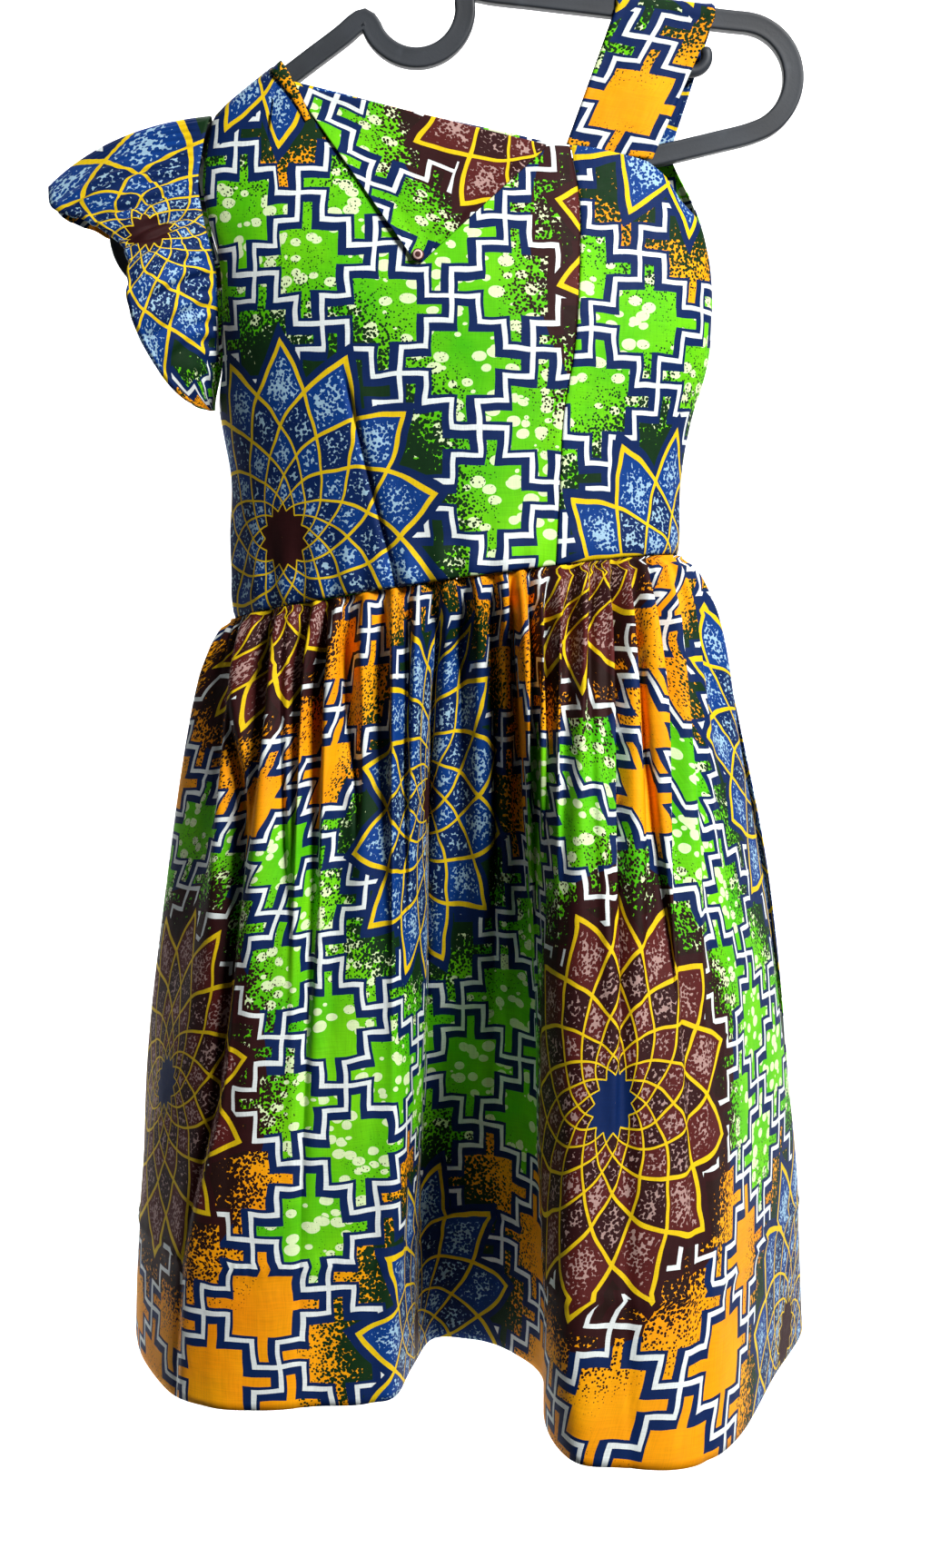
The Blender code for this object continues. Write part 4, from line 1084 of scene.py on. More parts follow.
def skirt_width(first, last, columns, seed, sizes):
    """Grid and UV of one width of the skirt between two shares of the way round.

    To the solid's form are added along its normal: fine puckers under the seam, a slow ripple and
    a hem band one fold of cloth thicker. The folds and a puff at the right of the waist move it
    nearer or farther along the line of sight, so that its outline stays.

    The print's way across is the cloth's length along each row, from a column near the middle. A
    row's whole length there is the weighted geometric mean of the hem's length and of a parabola
    fitted to the rows that hang free, so the print is gathered too, without a shear at the seam.
    """
    share, height = np.linspace(first, last, columns), skirt_rows()
    grid = skirt_form(share, height)
    s, h = share[None, :], height[:, None]
    drop = h * SKIRT_LENGTH
    lift = 2 * math.pi * (s * PUCKERS_ROUND + 0.35 * ripple(s * 30, drop * 20, seed))
    lift = sizes.pucker * np.sin(lift) * ease(drop, 0.0015, 0.006) * np.exp(-((drop / PUCKER_DROP) ** 2))
    for k, (part, around, down, starts, full) in enumerate(SKIRT_RIPPLES):
        swing = ripple(s * around, h * down, seed + 1 + k)
        lift = lift + part * sizes.ripple * swing * ease(drop, starts, full)
    stitch = 1 - HEM_BAND / SKIRT_LENGTH
    dents = 1 + 0.5 * np.sin(s * 2 * math.pi * STITCH_DENTS)
    lift = lift - STITCH_DENT * bell(h, stitch, STITCH_DENT_WIDTH) * dents
    lift = lift + HEM_RISE * ease(h, stitch, stitch + 0.012)
    around, spread, dies_out, puff = WAIST_PUFF
    puff = puff * bell(s, around, spread) * ease(drop, 0.001, 0.012)
    large = skirt_folds(s, h) + puff * np.exp(-((drop / dies_out) ** 2))
    grid = grid + normals(grid) * lift[..., None]
    sight = grid - np.array(CAMERA_PLACE)
    grid = grid - sight / sight[..., 1:2] * (np.sin(math.pi * s) * large)[..., None]
    for edge, near in ((0, 1), (-1, -2)):
        grid[:, edge] += unit(grid[:, near] - grid[:, edge]) * SEAM
    reach = lengths_across(grid)
    middle, hanging = columns * SKIRT_PRINT_LINE // 100, height > PRINT_SETTLED
    wide = np.polyval(np.polyfit(height[hanging], reach[hanging, -1], 2), height)
    full = reach[-1, -1] ** PRINT_FULLNESS * wide ** (1 - PRINT_FULLNESS) / reach[:, -1]
    across = (reach - reach[:, middle : middle + 1]) * full[:, None] + reach[-1, middle]
    return grid, joined(across, -drop)


def bodice_lift(x, z, side, seed, sizes):
    """How far the hanging bodice stands off its solid's form: soft ripples and pulls at the waist."""
    lift = 0
    for part, across, up, step in BODICE_RIPPLES:
        lift = lift + sizes.ripple * part * ripple(x * across, z * up, seed + step)
    lift = lift + BLOUSE * bell(z, waist_height(x, 0) + 0.012, 0.010)
    pulls = np.sin(x * 2 * math.pi / WAIST_PULL_PITCH + ripple(x * 30, z * 20, seed + 1))
    lift = lift + WAIST_PULL * pulls * bell(z, -0.39, 0.022)
    if side < 0:
        dart = np.array(BUST_DART) * CM
        line = np.interp(z, dart[::-1, 1], dart[::-1, 0])
        span = ease(z, -0.41, -0.39) * (1 - ease(z, -0.300, -0.277))
        lift = lift - DART_DEPTH * bell(x, line, 0.0016) * span
        lift = lift + DART_PUFF * bell(x, line + 0.007, 0.006) * span
    return lift


def bodice_cloth(left, right, neckline, side, marks, columns, seed, sizes):
    """Grid and UV of one bodice panel, with its edges turned in at the seams.

    The print's way across is the cloth's length along each row, counted from one upright line.
    Its way up is the height.
    """
    across, up = with_marks(columns, marks), np.linspace(0, 1, BODICE_ROWS)
    grid = bodice_panel(left, right, neckline, side, across, up)
    out = normals(grid)
    out *= np.sign(out[..., 1:2].mean() * side)
    reach = lengths_across(grid)
    from_edge = np.minimum(reach, reach[:, -1:] - reach)
    from_waist = np.linalg.norm(grid - grid[:1], axis=-1)
    lift = bodice_lift(grid[..., 0], grid[..., 2], side, seed, sizes) * ease(from_edge, 0.0, 0.012)
    lift = lift - SEAM_TURN * (1 - ease(from_edge, 0.0, 0.0022))
    lift = lift - WAIST_TURN * (1 - ease(from_waist, 0.0, 0.003))
    grid = grid + out * lift[..., None]
    x = grid[..., 0]
    middle = np.argmin(np.abs(x - BODICE_PRINT_LINE), axis=1)[:, None]
    u = reach - np.take_along_axis(reach, middle, axis=1) + np.take_along_axis(x, middle, axis=1)
    return grid, joined(u, grid[..., 2])


def strap_cloth(columns):
    """Grid and UV of the strap: up the front, over the bar and down the back, edges turned under."""
    arm_fall = math.tan(ARM_SLOPE - HANGER_TILT)
    bar_z = HANGER_APEX[1] - (STRAP_TOP_X - HANGER_APEX[0]) * arm_fall
    front, back = np.array(STRAP_FRONT) * CM, np.array(STRAP_BACK) * CM
    reach_y = BAR_DEPTH / 2 + 2 * SEAM + WALL / 2
    reach_z = BAR_HEIGHT / 2 + 2 * SEAM + WALL / 2
    turn = np.linspace(math.pi, 0, 31)
    over_x = np.full(len(turn), STRAP_TOP_X)
    over_y = reach_y * np.sign(np.cos(turn)) * np.abs(np.cos(turn)) ** STRAP_ROUNDING
    over_z = bar_z + reach_z * np.abs(np.sin(turn)) ** STRAP_ROUNDING
    climb, fall = np.linspace(0, 1, 60)[:-1], np.linspace(0, 1, 60)[1:]
    ends = (STRAP_TOP_X, STRAP_TOP_X), (-reach_y, reach_y), (bar_z, bar_z)
    x, y, z = [
        np.concatenate([front[k] + (top - front[k]) * climb, over, away + (back[k] - away) * fall])
        for k, (over, (top, away)) in enumerate(zip((over_x, over_y, over_z), ends))
    ]
    grow = np.concatenate([climb, np.ones(len(turn)), 1 - fall])
    width = (STRAP_BASE_WIDTH + (STRAP_TOP_WIDTH - STRAP_BASE_WIDTH) * grow)[:, None]
    off = np.linspace(-0.5, 0.5, columns)
    grid = joined(x[:, None] + width * off, y[:, None], z[:, None] - width * off * arm_fall)
    reach = lengths_down(grid)
    on_bar = grow[:, None] > 0.999
    lift = STRAP_RIPPLE * ripple(off[None, :] * 9, reach * 60, 11) * (1 - 0.8 * on_bar)
    rim = np.abs(off)[None, :] * 2
    lift = lift + STRAP_BEAD * bell(rim, 0.93, 0.05) - STRAP_TURN_IN * ease(rim, 0.975, 1.0)
    return grid + normals(grid) * lift[..., None], joined(width * off[None, :], reach)


def flounce_cloth(columns, rows):
    """Grid and UV of the cap sleeve: columns round the armhole, rows from its seam to its edge.

    Each column is a quadratic curve that leaves the seam outwards and then falls to the edge.
    Ruffle waves and one sharp crease grow towards the edge, fine gathers fade away from the seam,
    and small creases slant across it.
    """
    place = np.linspace(-1, 1, columns)
    share = np.abs(place) ** FLOUNCE_SPACING
    side = np.where(place < 0, -1.0, 1.0)
    top, low = shoulder_height(SHOULDER_OUTER_X), LEFT_SIDE[4][1] * CM
    z = top + (low + SEAM - top) * share
    heights, _, _, left_edge, _ = np.array(BODICE).T * CM
    over_bar = np.clip((top - z) / SHOULDER_ROUND, 0, 1)
    depth = np.interp(z, heights, left_edge) * np.sqrt(1 - (1 - over_bar) ** 2)
    seam = joined(side_x(LEFT_SIDE, z) - WALL - SEAM * 2, side * depth, z)
    shares, xs, ys, zs = np.array(FLOUNCE_EDGE).T
    x, y, z = [smooth(shares, values, share) for values in (xs, ys, zs)]
    edge = joined(x, side * y, z) * CM
    middle = seam + (edge - seam) * np.array(FLOUNCE_LEAN)
    r = np.linspace(0, 1, rows)[:, None, None]
    grid = seam * (1 - r) ** 2 + middle * 2 * r * (1 - r) + edge * r**2
    grow = r[..., 0]
    wave = np.cos(2 * math.pi * FLOUNCE_WAVES * share) * FLOUNCE_WAVE_DEPTH * np.sin(math.pi * share)
    crease = bell(share, FLOUNCE_CREASE_SHARE, FLOUNCE_CREASE_WIDTH) * FLOUNCE_CREASE_DEPTH
    grid[..., 1] += side * (wave * grow - crease * grow * (1 - FLOUNCE_CREASE_FADE * grow))
    gathered = np.sin(2 * math.pi * (place * SLEEVE_GATHERS + 0.4 * ripple(place * 12, grow * 4, 31)))
    lift = SLEEVE_GATHER_DEPTH * gathered * ease(grow, 0.02, 0.1) * np.exp(-((grow / 0.55) ** 2))
    lift = lift + SLEEVE_RIPPLE * ripple(place * 15, grow * 5, 32) * ease(grow, 0.1, 0.6)
    lift = lift + SLEEVE_BEAD * bell(grow, 0.955, 0.022) - SLEEVE_TURN_IN * ease(grow, 0.975, 1.0)
    for line, width, depth in SLEEVE_CREASES:
        bent = line + 0.020 * np.sin(grow * 3) + 0.006 * np.sin(grow * 9 + line * 40)
        lift = lift - depth * bell(share, bent, width * (0.7 + 0.8 * grow)) * ease(grow, 0.02, 0.25)
    ends = np.sin(math.pi * np.clip(share, 0, 1)) ** 0.5
    grid = grid + normals(grid) * (lift * ends)[..., None]
    return grid, joined(distances(grid[-1])[None, :], lengths_down(grid).mean(axis=1)[:, None])


def flap_cloth(columns, rows):
    """Grid and UV of the flap: rolled over the neck edge, then down on the bodice front to its point.

    The rows begin inside the neck, go over a half circle at the fold and narrow to the point. The
    flap lies on the bodice's own surface, moved out, and lifts a little along its two free edges.
    """
    across = np.linspace(0, 1, columns)[None, :]
    first, second, point = np.array((*FLAP_CORNERS, FLAP_POINT)) * CM
    down = np.linspace(0, 1 - FLAP_BLUNT, rows)[:, None]
    x, z = [
        (first[k] * (1 - across) + second[k] * across) * (1 - down) + point[k] * down for k in (0, 1)
    ]
    rim = np.abs(across * 2 - 1)
    lift = FLAP_EDGE_LIFT * ease(rim, 0.80, 1.0) * ease(down, 0.05, 0.3)
    lift = lift + FLAP_RIPPLE * ripple(across * 14, down * 9, 51)
    front = joined(x, section(x, z, -1) - FLAP_LIFT - lift, z)
    turn = np.linspace(math.pi, 0, 10)[:-1, None]
    top = front[:1]
    roll_y = top[..., 1] + FLAP_ROLL + FLAP_ROLL * np.cos(math.pi - turn)
    roll = joined(top[..., 0], roll_y, top[..., 2] + FLAP_ROLL * np.sin(turn))
    depths = np.linspace(*FLAP_INSIDE, 4)[:, None, None]
    inside = roll[:1] + np.array([0.0, 0.0, -1.0]) * depths
    grid = np.concatenate([inside, roll, front])
    return grid, joined(grid[..., 0], lengths_down(grid).mean(axis=1)[:, None])


def turning_cloth(columns, rows):
    """Grid and UV of the turned-out neck edge: a flat half round that narrows down over the flap.

    Its height over the bodice's surface is a half ellipse across, on top of the flap's own lift.
    """
    first, last = np.array(TURNING_ENDS) * CM
    wide, narrow = TURNING_WIDTHS
    length = np.linalg.norm(last - first)
    run = (last - first) / length
    down = np.linspace(0, 1, rows)[:, None]
    across = np.linspace(-1, 1, columns)[None, :]
    off = across * (wide + (narrow - wide) * down**0.8) / 2
    bow = TURNING_BOW * np.sin(math.pi * down)
    x = first[0] + (last[0] - first[0]) * down - run[1] * (off + bow)
    z = first[1] + (last[1] - first[1]) * down + run[0] * (off + bow)
    rise = TURNING_RISE * np.sqrt(1 - (0.98 * across) ** 2) * (1 - 0.5 * down)
    y = section(x, z, -1) - FLAP_LIFT - FLAP_THICKNESS - rise
    return joined(x, y, z), joined(off, down * length)


def turned(points, degrees, offset):
    """Flat points turned about their start and moved."""
    angle = math.radians(degrees)
    cos, sin = math.cos(angle), math.sin(angle)
    x, y = points[..., 0] * cos - points[..., 1] * sin, points[..., 0] * sin + points[..., 1] * cos
    return joined(x + offset[0], y + offset[1])


def own_to_world(points):
    """Hanger's own (x, up) points to the frame's x and z: turned about the point of its arms."""
    return turned(np.asarray(points, float), HANGER_TILT_DEGREES, HANGER_APEX)


def arc(centre, radius, start, stop, count):
    """Points round a centre from one angle to another."""
    angles = np.linspace(start, stop, count)
    return joined(centre[0] + radius * np.cos(angles), centre[1] + radius * np.sin(angles))


def hanger_loop():
    """Middle line of the bar as it hangs: dip, right peak, arm, end and lower bar, then mirrored."""
    dip = arc((0, -DIP_CENTRE_DROP), DIP_RADIUS, -math.pi / 2, DIP_END_ANGLE, 8)
    slope = math.tan(ARM_SLOPE)
    peak = np.array([PEAK_FOOT, (PEAK_X, -PEAK_X * slope + PEAK_LIFT)])
    arm_end = END_CENTRE[0] + END_RADIUS * math.sin(ARM_SLOPE)
    arm_x = np.linspace(ARM_MARGINS[0], arm_end - ARM_MARGINS[1], 7)
    arm = joined(arm_x, -arm_x * slope)
    end = arc(END_CENTRE, END_RADIUS, math.pi / 2 - ARM_SLOPE, -math.pi / 2, 12)
    lower_x = np.linspace(END_CENTRE[0] - LOWER_BAR_MARGIN, 0, 8)
    end_drop = END_RADIUS - END_CENTRE[1]
    lower_z = -LOWER_BAR_DROP - (end_drop - LOWER_BAR_DROP) * np.sin(lower_x / END_CENTRE[0] * math.pi / 2)
    right = np.concatenate([dip, peak, arm, end, joined(lower_x, lower_z)])
    return own_to_world(np.concatenate([right, right[1:-1][::-1] * (-1, 1)]))


def hook_path():
    """Middle line of the hook's wire: a stem by the right peak, then round over the origin."""
    to_centre = np.array([0 - HANGER_APEX[0], -(HOOK_RADIUS - HOOK_WIRE) - HANGER_APEX[1]])
    cos, sin = math.cos(HANGER_TILT), math.sin(HANGER_TILT)
    centre = np.array([to_centre[0] * cos + to_centre[1] * sin, to_centre[1] * cos - to_centre[0] * sin])
    stem_x = centre[0] - HOOK_RADIUS
    stem = np.array([[stem_x, -HOOK_FOOT_DROP], [stem_x, centre[1] / 2]])
    return own_to_world(np.concatenate([stem, arc(centre, HOOK_RADIUS, math.pi, HOOK_TIP_ANGLE, 28)]))


def lobe_path(side):
    """Small strap hook under an arm: down from the bar and curled outwards."""
    foot = -LOBE_X * math.tan(ARM_SLOPE)
    low = foot - LOBE_LENGTH + LOBE_CURL
    curl = arc((LOBE_X + LOBE_CURL, low), LOBE_CURL, math.pi, 2 * math.pi, 13)
    path = np.concatenate([[[LOBE_X, foot], [LOBE_X, (foot + low) / 2]], curl])
    return own_to_world(path * (side, 1))


def along_path(path, count, closed):
    """Points evenly along a smooth curve through the path's points, and the unit way on at each."""
    if closed:
        path = np.concatenate([path[-3:], path, path[:3]])
    way = distances(path)
    first, last = (way[3], way[-3]) if closed else (0, way[-1])
    places = np.linspace(first, last, count + 1)[:-1] if closed else np.linspace(first, last, count)
    step = way[-1] * 1e-4
    points, ahead, behind = [
        np.stack([smooth(way, path[:, k], places + move) for k in (0, 1)], axis=-1)
        for move in (0, step, -step)
    ]
    return points, unit(ahead - behind)


def swept(name, path, count, profile, closed):
    """Mesh of a profile of (across, depth) points carried along a flat path in the X-Z plane.

    An open path gets two round ends: the profile shrinks there as a sine and runs on as a cosine.
    """
    points, run = along_path(path, count, closed)
    sizes, slide = np.ones(count), np.zeros(count)
    if not closed:
        cap = np.linspace(0, math.pi / 2, 5)[:-1]
        ends = np.zeros(4, int)
        points = np.concatenate([points[ends], points, points[ends - 1]])
        run = np.concatenate([run[ends], run, run[ends - 1]])
        sizes = np.concatenate([np.sin(cap), sizes, np.sin(cap)[::-1]])
        slide = np.concatenate([-np.cos(cap), slide, np.cos(cap)[::-1]])
    off = profile[None] * np.maximum(sizes, 0.02)[:, None, None]
    centre = points + run * (slide * np.abs(profile).max())[:, None]
    x = centre[:, None, 0] - run[:, None, 1] * off[..., 0]
    z = centre[:, None, 1] + run[:, None, 0] * off[..., 0]
    grid = joined(x, off[..., 1], z)
    if closed:
        grid = np.concatenate([grid, grid[:1]])
    mesh = grid_mesh(name, grid, None, wrap=True)
    close_ends(mesh)
    return mesh


def close_ends(mesh):
    """Welds points that meet, caps open rims and turns the faces outwards."""
    work = bmesh.new()
    work.from_mesh(mesh)
    bmesh.ops.remove_doubles(work, verts=work.verts, dist=1e-6)
    rims = [edge for edge in work.edges if edge.is_boundary]
    if rims:
        bmesh.ops.holes_fill(work, edges=rims)
    bmesh.ops.recalc_face_normals(work, faces=work.faces)
    work.to_mesh(mesh)
    work.free()
    mesh.shade_smooth()


def bar_profile(steps):
    """Section of the bar: an oblong with small round corners and two faces that are barely hollow."""
    tall, deep = BAR_HEIGHT / 2 - BAR_CORNER, BAR_DEPTH / 2 - BAR_CORNER
    angle = np.linspace(0, math.pi / 2, steps)
    quarter = joined(tall + BAR_CORNER * np.cos(angle), deep + BAR_CORNER * np.sin(angle))
    face = np.linspace(tall, -tall, 9)[1:-1]
    hollow = deep + BAR_CORNER - BAR_HOLLOW * ease(1 - np.abs(face) / tall, 0.0, 0.45)
    upper = np.concatenate([quarter, joined(face, hollow), quarter[::-1] * (-1, 1)])
    return np.concatenate([upper, -upper])


def round_profile(radius, count):
    """Section of a round wire."""
    angle = np.linspace(0, 2 * math.pi, count + 1)[:-1]
    return joined(radius * np.cos(angle), radius * np.sin(angle))


def length_property(name, description, value, least, most):
    """A property that holds a length in metres."""
    return bpy.props.FloatProperty(
        name=name, description=description, default=value, min=least, max=most, unit="LENGTH"
    )


def ratio_property(name, description, value, least, most):
    """A property that holds a plain number."""
    return bpy.props.FloatProperty(
        name=name, description=description, default=value, min=least, max=most
    )


def count_property(name, description, value, least, most):
    """A property that holds a whole number."""
    return bpy.props.IntProperty(
        name=name, description=description, default=value, min=least, max=most
    )


def colour_property(name, description, *values):
    """A property that holds a colour, from its three display values."""
    return bpy.props.FloatVectorProperty(
        name=name, description=description, default=linear(*values), min=0, max=1, size=3, subtype="COLOR"
    )


class DressSizes(bpy.types.PropertyGroup):
    """Sizes of the cloth's small forms."""

    cloth: length_property("Cloth thickness", "Wall of a single layer", 0.0006, 0.0002, 0.0015)
    pucker: length_property("Pucker depth", "Fine gathers under the waist seam", 0.0008, 0, 0.004)
    ripple: length_property("Ripple depth", "Slow unevenness of hanging cloth", 0.0016, 0, 0.006)
    stitch: length_property("Stitch length", "Length of a thread stitch", 0.0026, 0.001, 0.006)
    gap: length_property("Stitch gap", "Cloth between two stitches", 0.0011, 0.0002, 0.004)
    thread: length_property("Thread radius", "Radius of the sewing thread", 0.00025, 0.0001, 0.0006)


class DressPrint(bpy.types.PropertyGroup):
    """Sizes of the print, in metres of cloth."""

    cell: length_property("Cell", "One step of a stepped diamond", 0.0138, 0.004, 0.04)
    white_line: length_property("White line", "Width of the white line", 0.0026, 0.0, 0.01)
    navy_wide: length_property("Wide shadow", "Navy from the line's middle, wide side", 0.0056, 0.0, 0.01)
    navy_thin: length_property("Thin shadow", "Navy from the line's middle, thin side", 0.003, 0.0, 0.01)
    repeat_across: length_property("Repeat across", "Distance between columns of rosettes", 0.235, 0.1, 0.6)
    repeat_down: length_property("Repeat down", "Distance between rosettes of a column", 0.310, 0.1, 0.6)
    band_repeat: length_property("Band repeat", "Distance between two bands of one colour", 0.42, 0.1, 1.0)
    lime_share: ratio_property("Lime share", "Share of the bands that is lime", 0.54, 0.0, 1.0)
    stretch: ratio_property("Stretch", "Height of a rosette over its width", 1.18, 0.5, 2.0)
    centre_radius: length_property("Heart radius", "Radius of a rosette's dark heart", 0.0122, 0.004, 0.04)
    levels: count_property("Levels", "Rings of kites in a rosette", 6, 2, 9)
    tiles: count_property("Tiles", "Kites round each ring", 14, 6, 40)
    yarn: length_property("Yarn", "Distance between two yarns of the weave", 0.0006, 0.0002, 0.002)


class DressColours(bpy.types.PropertyGroup):
    """Colours of the print."""

    orange: colour_property("Orange", "Orange ground", 255, 172, 0)
    orange_deep: colour_property("Deep orange", "Darker clouds in the orange", 250, 148, 0)
    lime: colour_property("Lime", "Lime ground", 116, 212, 6)
    lime_deep: colour_property("Deep lime", "Darker clouds in the lime", 66, 184, 0)
    pebble: colour_property("Pebble", "Pale pebbles on the lime", 234, 250, 198)
    white: colour_property("White", "Lines of the lattice", 232, 240, 240)
    navy: colour_property("Navy", "Shadow of the lines", 0, 32, 84)
    blue: colour_property("Blue", "Lighter kites of the first rosette", 0, 56, 130)
    blue_deep: colour_property("Deep blue", "Darker kites of the first rosette", 0, 34, 88)
    crackle_blue: colour_property("Blue crackle", "Crackle of the first rosette", 190, 230, 248)
    brown: colour_property("Brown", "Dark brown of the second rosette", 46, 12, 14)
    brown_light: colour_property("Light brown", "Rings of the second rosette", 84, 26, 24)
    crackle_pink: colour_property("Pink crackle", "Crackle of the second rosette", 226, 190, 182)
    yellow: colour_property("Yellow", "Lines of the rosettes", 234, 198, 12)
    halo_green: colour_property("Green halo", "Dark round the first rosette", 8, 44, 14)
    halo_brown: colour_property("Brown halo", "Dark round the second rosette", 36, 14, 10)


class DRESS_OT_stage(bpy.types.Operator):
    """Camera, pale floor and backdrop, soft studio light"""

    bl_idname = "dress.stage"
    bl_label = "Stage"

    def execute(self, context):
        scene = context.scene
        data = bpy.data.cameras.new("camera")
        data.sensor_fit, data.sensor_width, data.lens = "AUTO", SENSOR, LENS
        data.clip_start, data.clip_end = CLIPPING
        camera = bpy.data.objects.new("camera", data)
        camera.location = CAMERA_PLACE
        camera.rotation_euler = (math.pi / 2 + CAMERA_PITCH, 0, 0)
        scene.collection.objects.link(camera)
        scene.camera = camera
        turn = np.linspace(0, math.pi / 2, 24)
        bend_y = BACKDROP_WALL - BACKDROP_BEND + BACKDROP_BEND * np.sin(turn)
        bend_z = BACKDROP_FLOOR + BACKDROP_BEND - BACKDROP_BEND * np.cos(turn)
        y = np.concatenate([BACKDROP_FRONT, bend_y, [BACKDROP_WALL]])[:, None]
        z = np.concatenate([[BACKDROP_FLOOR] * 2, bend_z, [BACKDROP_TOP]])[:, None]
        x = np.linspace(-BACKDROP_HALF_WIDTH, BACKDROP_HALF_WIDTH, 3)[None, :]
        mesh = grid_mesh("backdrop", joined(x, y, z), None)
        mesh.materials.append(Board("backdrop_paper").surface(BACKDROP_COLOUR, 0.9))
        backdrop = bpy.data.objects.new("backdrop", mesh)
        scene.collection.objects.link(backdrop)
        for name, place, aim, size, power, tint in LAMPS:
            lamp = bpy.data.lights.new(name, "AREA")
            lamp.size, lamp.energy, lamp.color = size, power, tint
            light = bpy.data.objects.new(name, lamp)
            light.location = place
            direction = mathutils.Vector(aim) - mathutils.Vector(place)
            light.rotation_euler = direction.to_track_quat("-Z", "Y").to_euler()
            scene.collection.objects.link(light)
        world = bpy.data.worlds.new("studio")
        world.use_nodes = True
        background = world.node_tree.nodes["Background"]
        background.inputs[0].default_value = (1.0, 1.0, 1.0, 1.0)
        background.inputs[1].default_value = WORLD_LIGHT
        scene.world = world
        scene.view_settings.view_transform = "Standard"
        return {"FINISHED"}


class DRESS_OT_skirt(bpy.types.Operator):
    """The skirt's front and back widths, gathered to the waist seam"""

    bl_idname = "dress.skirt"
    bl_label = "Skirt"

    def execute(self, context):
        sizes, cotton = context.scene.dress_sizes, printed_cotton(context)
        for side, first, last, columns, seed in SKIRT_WIDTHS:
            node = "skirt_" + side
            grid, uv = skirt_width(first, last, columns, seed, sizes)
            made = cloth_piece(node + "_cloth", grid, uv, cotton, [node], sizes.cloth)
        return {"FINISHED"}


class DRESS_OT_bodice(bpy.types.Operator):
    """The four bodice panels with their seams, dart and open edges"""

    bl_idname = "dress.bodice"
    bl_label = "Bodice"

    def execute(self, context):
        sizes, cotton = context.scene.dress_sizes, printed_cotton(context)
        princess = inset(PRINCESS_SEAM, -SEAM), inset(PRINCESS_SEAM, SEAM)
        centre = inset(CENTRE_BACK_SEAM, -SEAM), inset(CENTRE_BACK_SEAM, SEAM)
        for name, left, right, neckline, side, marks, columns, flat, area, seed in (
            ("bodice_front_left", LEFT_SIDE, princess[0], NECKLINE_FRONT, -1,
             FRONT_CORNERS, 170, (0.22, 0.28), 0.048, 61),
            ("bodice_front_right", princess[1], RIGHT_SIDE, NECKLINE_FRONT, -1,
             SIDE_CORNERS, 80, (0.12, 0.25), 0.022, 62),
            ("bodice_back_left", LEFT_SIDE, centre[0], NECKLINE_BACK, 1,
             BACK_LEFT_CORNERS, 120, (0.16, 0.28), 0.035, 63),
            ("bodice_back_right", centre[1], RIGHT_SIDE_BACK, NECKLINE_BACK, 1,
             BACK_RIGHT_CORNERS, 100, (0.16, 0.24), 0.030, 64),
        ):
            grid, uv = bodice_cloth(left, right, neckline, side, marks, columns, seed, sizes)
            made = cloth_piece(name + "_cloth", grid, uv, cotton, [name], sizes.cloth, side > 0)
        return {"FINISHED"}


class DRESS_OT_strap(bpy.types.Operator):
    """The shoulder strap over the hanger's arm"""

    bl_idname = "dress.strap"
    bl_label = "Shoulder strap"

    def execute(self, context):
        grid, uv = strap_cloth(columns=36)
        cotton, nodes = printed_cotton(context), ["shoulder_strap"]
        made = cloth_piece("shoulder_strap_cloth", grid, uv, cotton, nodes, STRAP_THICKNESS)
        return {"FINISHED"}


class DRESS_OT_flap(bpy.types.Operator):
    """The neck flap, folded down over the bodice front"""

    bl_idname = "dress.flap"
    bl_label = "Neck flap"

    def execute(self, context):
        cotton = printed_cotton(context)
        grid, uv = flap_cloth(columns=110, rows=70)
        made = cloth_piece("neck_flap_cloth", grid, uv, cotton, ["neck_flap"], FLAP_THICKNESS)
        grid, uv = turning_cloth(columns=14, rows=50)
        made = cloth_piece("neck_edge_turning", grid, uv, cotton, [], TURNING_THICKNESS)
        return {"FINISHED"}


class DRESS_OT_sleeve(bpy.types.Operator):
    """The ruffled cap sleeve at the left armhole"""

    bl_idname = "dress.sleeve"
    bl_label = "Cap sleeve"

    def execute(self, context):
        grid, uv = flounce_cloth(columns=300, rows=60)
        cotton, nodes = printed_cotton(context), ["sleeve_flounce"]
        thickness = context.scene.dress_sizes.cloth
        made = cloth_piece("sleeve_flounce_cloth", grid, uv, cotton, nodes, thickness)
        return {"FINISHED"}


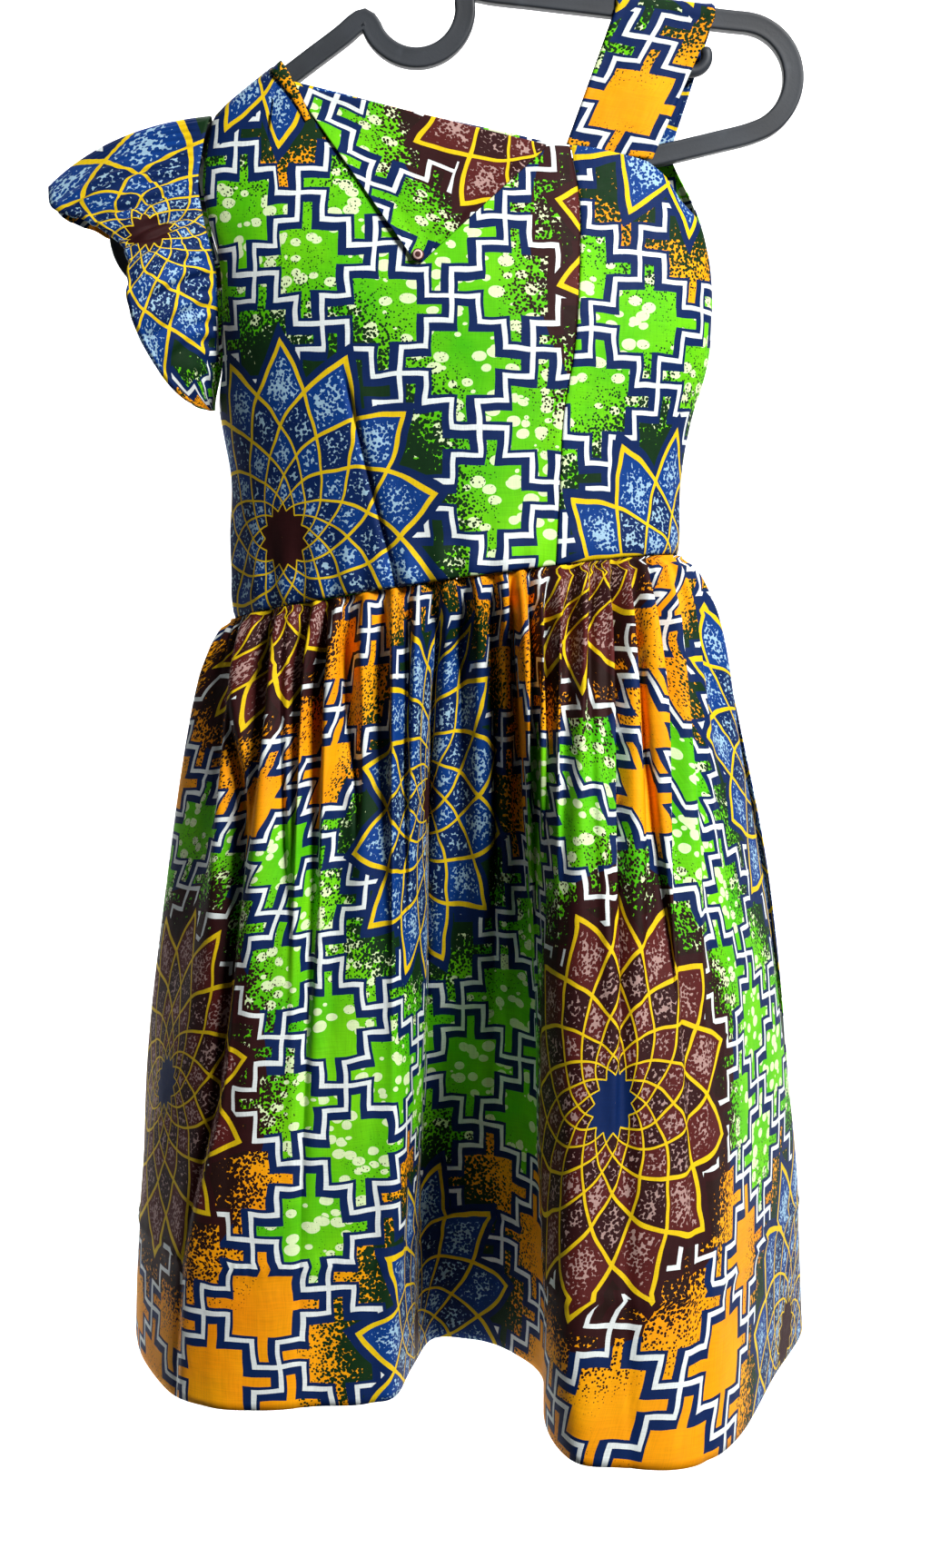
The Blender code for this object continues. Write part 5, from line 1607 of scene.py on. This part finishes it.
class DRESS_OT_button(bpy.types.Operator):
    """The covered button at the flap's point"""

    bl_idname = "dress.button"
    bl_label = "Covered button"

    def execute(self, context):
        x, z = BUTTON_PLACE[0] * CM, BUTTON_PLACE[1] * CM
        y = float(section(x, z, -1)) - FLAP_LIFT - BUTTON_SEAT
        angle = np.linspace(0, 2 * math.pi, 41)[:-1]
        swell = np.linspace(0, math.pi / 2, 12)[1:]
        radius = np.concatenate([[0.70], 0.70 + 0.30 * np.sin(swell[:5] * 2.2), np.cos(swell)])
        height = np.concatenate([[0.0], 0.35 * np.linspace(0.2, 1, 5), 0.35 + 0.65 * np.sin(swell)])
        radius, height = radius[:, None] * BUTTON_RADIUS, height[:, None] * BUTTON_HEIGHT
        grid = joined(x + radius * np.cos(angle), y - height, z + radius * np.sin(angle))
        mesh = grid_mesh("covered_button_dome", grid, None, wrap=True)
        close_ends(mesh)
        colours = context.scene.dress_colours
        board = Board("button_cloth")
        place = board.object_place()
        px, _, pz = board.split(place)
        away = ((px - x) * (px - x) + (pz - z) * (pz - z)).maths("SQRT")
        ring = abs(away - BUTTON_RADIUS * BUTTON_RING) < BUTTON_RING_HALF_WIDTH
        weave = board.noise(place, 1500.0, 1.0)
        tone = board.mix(weave.step(0.3, 0.7), tuple(colours.brown), tuple(colours.brown_light))
        tone = board.mix(ring, tone, tuple(colours.crackle_pink))
        cloth = board.surface(tone, 0.75, weave, 0.0001)
        finish_piece("covered_button_dome", mesh, cloth, ["covered_button"])
        return {"FINISHED"}


class DRESS_OT_stitching(bpy.types.Operator):
    """The hem's row of stitches, all the way round"""

    bl_idname = "dress.stitching"
    bl_label = "Stitching"

    def execute(self, context):
        sizes, thread = context.scene.dress_sizes, thread_material()
        heights, wanted = skirt_rows(), 1 - HEM_BAND / SKIRT_LENGTH
        row = int(np.searchsorted(heights, wanted))
        share = (wanted - heights[row - 1]) / (heights[row] - heights[row - 1])
        for side, first, last, columns, seed in SKIRT_WIDTHS:
            grid, _ = skirt_width(first, last, columns, seed, sizes)
            path, away = [k[row - 1] * (1 - share) + k[row] * share for k in (grid, normals(grid))]
            path = path + away * (sizes.cloth / 2 + sizes.thread * 0.2)
            starts, ends, lift = stitch_path(path, away, sizes.stitch, sizes.gap)
            stitches("hem_stitches_" + side, starts, ends, lift, sizes.thread, thread)
        return {"FINISHED"}


class DRESS_OT_hanger(bpy.types.Operator):
    """The moulded hanger: its bar, hook and two strap hooks"""

    bl_idname = "dress.hanger"
    bl_label = "Hanger"

    def execute(self, context):
        plastic = dark_plastic()
        hook, lobe = round_profile(HOOK_WIRE, 20), round_profile(LOBE_WIRE, 16)
        for name, path, points, profile, closed in (
            ("hanger_bar", hanger_loop(), 420, bar_profile(6), True),
            ("hanger_hook", hook_path(), 120, hook, False),
            ("hanger_lobe_left", lobe_path(-1), 60, lobe, False),
            ("hanger_lobe_right", lobe_path(1), 60, lobe, False),
        ):
            mesh = swept(name, path, points, profile, closed)
            finish_piece(name, mesh, plastic, ["hanger_frame"])
        return {"FINISHED"}


class DRESS_PT_sidebar(bpy.types.Panel):
    """Lists the pieces of the dress and the sizes that they are made with"""

    bl_idname = "DRESS_PT_sidebar"
    bl_label = "Printed dress"
    bl_space_type = "VIEW_3D"
    bl_region_type = "UI"
    bl_category = "Dress"

    def draw(self, context):
        for group in (context.scene.dress_sizes, context.scene.dress_print, context.scene.dress_colours):
            box = self.layout.box()
            for key in group.__annotations__:
                box.prop(group, key)
        for operator in OPERATORS:
            self.layout.operator(operator.bl_idname)


GROUPS = (DressSizes, DressPrint, DressColours)
OPERATORS = (
    DRESS_OT_stage,
    DRESS_OT_hanger,
    DRESS_OT_bodice,
    DRESS_OT_skirt,
    DRESS_OT_strap,
    DRESS_OT_flap,
    DRESS_OT_sleeve,
    DRESS_OT_button,
    DRESS_OT_stitching,
)


def register():
    for kind in (*GROUPS, *OPERATORS, DRESS_PT_sidebar):
        bpy.utils.register_class(kind)
    bpy.types.Scene.dress_sizes = bpy.props.PointerProperty(type=DressSizes)
    bpy.types.Scene.dress_print = bpy.props.PointerProperty(type=DressPrint)
    bpy.types.Scene.dress_colours = bpy.props.PointerProperty(type=DressColours)


def unregister():
    del bpy.types.Scene.dress_sizes, bpy.types.Scene.dress_print, bpy.types.Scene.dress_colours
    for kind in (DRESS_PT_sidebar, *reversed(OPERATORS), *reversed(GROUPS)):
        bpy.utils.unregister_class(kind)


def main():
    register()
    bpy.ops.dress.stage()
    bpy.ops.dress.hanger()
    bpy.ops.dress.bodice()
    bpy.ops.dress.skirt()
    bpy.ops.dress.strap()
    bpy.ops.dress.flap()
    bpy.ops.dress.sleeve()
    bpy.ops.dress.button()
    bpy.ops.dress.stitching()


if __name__ == "__main__":
    main()
